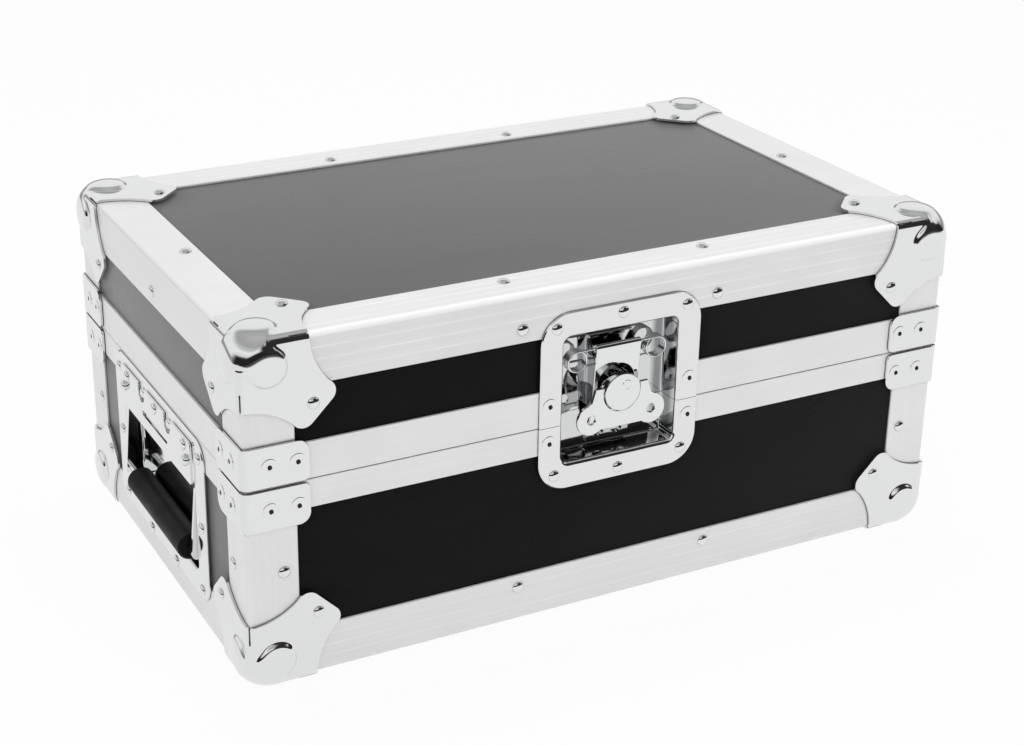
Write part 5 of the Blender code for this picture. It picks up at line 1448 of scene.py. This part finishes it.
def corner_shell():
    """The pressed corner as a closed sheet, before its outline is cut."""
    bm = bmesh.new()
    skins = [
        [[[bm.verts.new(p) for p in row] for row in grid] for grid in corner_skin(sheet)]
        for sheet in (0, CORNER_PROUD - FIT_GAP)
    ]
    last = len(skins[0][0]) - 1
    for skin, order in zip(skins, (-1, 1)):
        for grid in skin:
            for i in range(last):
                for j in range(last):
                    quad = (grid[i][j], grid[i + 1][j], grid[i + 1][j + 1], grid[i][j + 1])
                    bm.faces.new(quad[::order])
    for outer, inner in zip(*skins):
        for i in range(last):
            bm.faces.new((outer[last][i], outer[last][i + 1], inner[last][i + 1], inner[last][i]))
            bm.faces.new((outer[i][last], outer[i + 1][last], inner[i + 1][last], inner[i][last]))
    bmesh.ops.remove_doubles(bm, verts=bm.verts[:], dist=TOUCHING * 10)
    return shape_from(bm)


def ball_corners():
    """The domed steel corners: three lobed plates pressed from one sheet round a hollow ball."""
    shell = corner_shell()
    outside, slit = lobe_outside(), corner_slit()
    for axis in "xyz":
        cut(
            shell, prism(outside, axis, -LOBE_CUT_REACH, PAST),
            prism(slit, axis, CORNER_SLIT_START, FAR),
        )
    to_corner = Matrix.Translation((-HALF_LENGTH, -HALF_DEPTH, 0))
    places = {where: matrix @ to_corner for where, matrix in UPRIGHTS.items()}
    spread(shell, "corner", "steel", "chrome", PARTS, places)


def facing(face, a, b, proud):
    """Stands a rivet on a face, at two distances in millimetres along it from the case's corner."""
    a, b = a / 1000, b / 1000
    where, turn = {
        "front": ((a - HALF_LENGTH, -HALF_DEPTH - proud, b), TO_FRONT),
        "left": ((-HALF_LENGTH - proud, a - HALF_DEPTH, b), TO_LEFT),
        "top": ((a - HALF_LENGTH, b - HALF_DEPTH, CASE_HEIGHT + proud), UNTURNED),
    }[face]
    return Matrix.Translation(where) @ turn


def rivets():
    """Every rivet, joined into one piece for each body and kind."""
    placed = {}

    def add(body, kind, face, a, b, proud=0.0, mirrors=ALL_FOUR, flip=UNTURNED):
        """Puts a rivet at a place and at its mirror images."""
        matrix = facing(face, a, b, proud)
        matrices = placed.setdefault((body, kind), [])
        matrices.extend(flip @ mirror @ matrix for mirror in mirrors)

    for body, flip in (("lid", UNTURNED), ("base", MIRROR_Z)):
        for place_on_edge in EDGING_RIVETS:
            add(body, "domed", *place_on_edge, flip=flip)
        for place_on_end in END_RIVETS[body]:
            add(body, "domed", *place_on_end, mirrors=BOTH_SIDES, flip=flip)
        for place_on_ball in BALL_RIVETS:
            add(body, "domed", *place_on_ball, CORNER_PROUD, flip=flip)
    for face in ("front", "left"):
        add("base", "domed", face, *POST_RIVET)
    for body, z in BRACKET_RIVET_HEIGHTS:
        for face in ("front", "left"):
            for a in BRACKET_RIVETS:
                add(body, "pop", face, a, z, FIT_GAP + BRACKET_THICKNESS)
    flange = FIT_GAP + DISH_SHEET
    for body, kind, dx, z in LATCH_RIVETS:
        mirrors = BOTH_SIDES if dx else (UNTURNED,)
        add(body, kind, "front", 1000 * HALF_LENGTH + dx, z, flange, mirrors)
    cover = flange + FIT_GAP + COVER_THICKNESS
    for kind, dy, z, on_cover in HANDLE_RIVETS:
        mirrors = ALL_FOUR if dy else BOTH_SIDES
        proud = cover if on_cover else flange
        add("base", kind, "left", 1000 * HALF_DEPTH + dy, z, proud, mirrors)
    for body, z in HINGE_SCREW_HEIGHTS:
        for dx in HINGE_SCREWS:
            a = 1000 * (HALF_LENGTH + HINGE_OFFSET) + dx
            add(body, "hinge", "front", a, z, FIT_GAP + HINGE_LEAF, BOTH_SIDES, MIRROR_Y)
    for body in ("base", "lid"):
        placed[(body, "mandrel")] = placed[(body, "pop")]

    shapes = {kind: revolve(*profile) for kind, profile in RIVET_PROFILES.items()}
    for (body, kind), matrices in placed.items():
        bm = bmesh.new()
        for matrix in matrices:
            copy = shapes[kind].data.copy()
            copy.transform(matrix)
            bm.from_mesh(copy)
            bpy.data.meshes.remove(copy)
        joined = shape_from(bm)
        # The mandrel discs get the dark shadow finish, a painted shadow in the holes
        place(joined, f"{body}_{kind}_rivets", body, "shadow" if kind == "mandrel" else "chrome")
        discard(joined)
    discard(*shapes.values())


def make_floor_material():
    """White to the camera. In reflections it is dimmer at the left and dark far in front.

    The case shades it.
    """
    made = bpy.data.materials.new("floor")
    made.use_nodes = True
    graph = Graph(made.node_tree)
    graph.nodes.clear()
    toward_left = graph.span(graph.toward(FLOOR_LEFTWARD, "Object"), FLOOR_TURN)
    reflected = graph.mix(toward_left, FLOOR_FRONT_TONE, FLOOR_LEFT_TONE)
    away = graph.span(graph.along("Y"), FLOOR_FADE, (1.0, 0.0))
    reflected = graph.mix(away, reflected, FLOOR_FAR_TONE)
    rays = [
        graph.add("LightPath", output=f"Is {kind} Ray")
        for kind in ("Camera", "Glossy", "Transmission")
    ]
    tone = graph.mix(rays[0], reflected, 1.0)
    graph.choose(
        graph.math("MULTIPLY", graph.fold("MAXIMUM", rays), FLOOR_GLOW),
        graph.add("BsdfDiffuse", {"Color": FLOOR_COLOUR}),
        graph.add("Emission", {"Color": tone, "Strength": 1.0}),
        "OutputMaterial",
    )
    return made


def surround():
    """White to the camera. Else a room that is bright at mid height and grey above.

    Low down it is dark in front and grey behind. A dark patch is up at the front right.
    """
    world = bpy.data.worlds.new("surround")
    bpy.context.scene.world = world
    world.use_nodes = True
    graph = Graph(world.node_tree)
    graph.nodes.clear()
    height = graph.along("Z", "Generated")
    behind = graph.span(graph.along("Y", "Generated"), BACK_TURN)
    room = graph.mix(behind, graph.ramp(height, FRONT_TONES), graph.ramp(height, BACK_TONES))
    beside = graph.span(graph.toward(DARK_AIM, "Generated"), DARK_TURN)
    room = graph.mix(beside, room, DARK_TONE)
    graph.choose(
        graph.add("LightPath", output="Is Camera Ray"), graph.add("Background", {"Color": room}),
        graph.add("Background", {"Color": 1.0}), "OutputWorld",
    )


def studio():
    """A white floor that runs into the surround, and three soft boxes that face the case."""
    bm = bmesh.new()
    bmesh.ops.create_grid(bm, x_segments=1, y_segments=1, size=FLOOR_HALF)
    mesh = bpy.data.meshes.new("floor")
    bm.to_mesh(mesh)
    bm.free()
    floor = new_object("floor", mesh)
    floor.location.z = -FLOOR_DROP
    mesh.materials.append(make_floor_material())
    surround()
    for name, where, size, power in SOFT_BOXES:
        data = bpy.data.lights.new(name, "AREA")
        data.shape, data.energy = "RECTANGLE", power
        data.size, data.size_y = size
        lamp = new_object(name, data)
        lamp.visible_glossy = False
        lamp.location = where
        aim = Vector(SOFT_BOX_AIM) - Vector(where)
        lamp.rotation_euler = aim.to_track_quat("-Z", "Y").to_euler()


def camera():
    """The photograph's view, from its perspective."""
    data = bpy.data.cameras.new("camera")
    data.sensor_fit, data.sensor_width = "HORIZONTAL", CAMERA_SENSOR
    data.lens, data.clip_start = CAMERA_LENS, CAMERA_NEAR
    data.shift_x, data.shift_y = CAMERA_SHIFT
    made = new_object("camera", data)
    made.location = CAMERA_PLACE
    made.rotation_euler = [radians(turn) for turn in CAMERA_TURN]
    bpy.context.scene.camera = made


for grain, stretch in GRAINS.items():
    make_aluminium(grain, stretch)
make_chrome("chrome", *FLAT_WAVES)
make_chrome("pressed_chrome", *PRESSED_WAVES)
make_zinc()
make_laminate()
make_rubber()
make_foam()
make_shadow()

edging()
closing_frames()
ball_corners()
corner_brackets()
latch_dishes()
latch_hook()
latch_spring()
latch_drum()
latch_wing()
handles()
hinges()
foam()
rivets()
for name, node in frame["nodes"].items():
    if name.endswith("_panel"):
        node.data.materials.clear()
        node.data.materials.append(finish_of("laminate"))

studio()
camera()
bpy.context.scene.view_settings.view_transform = "Standard"
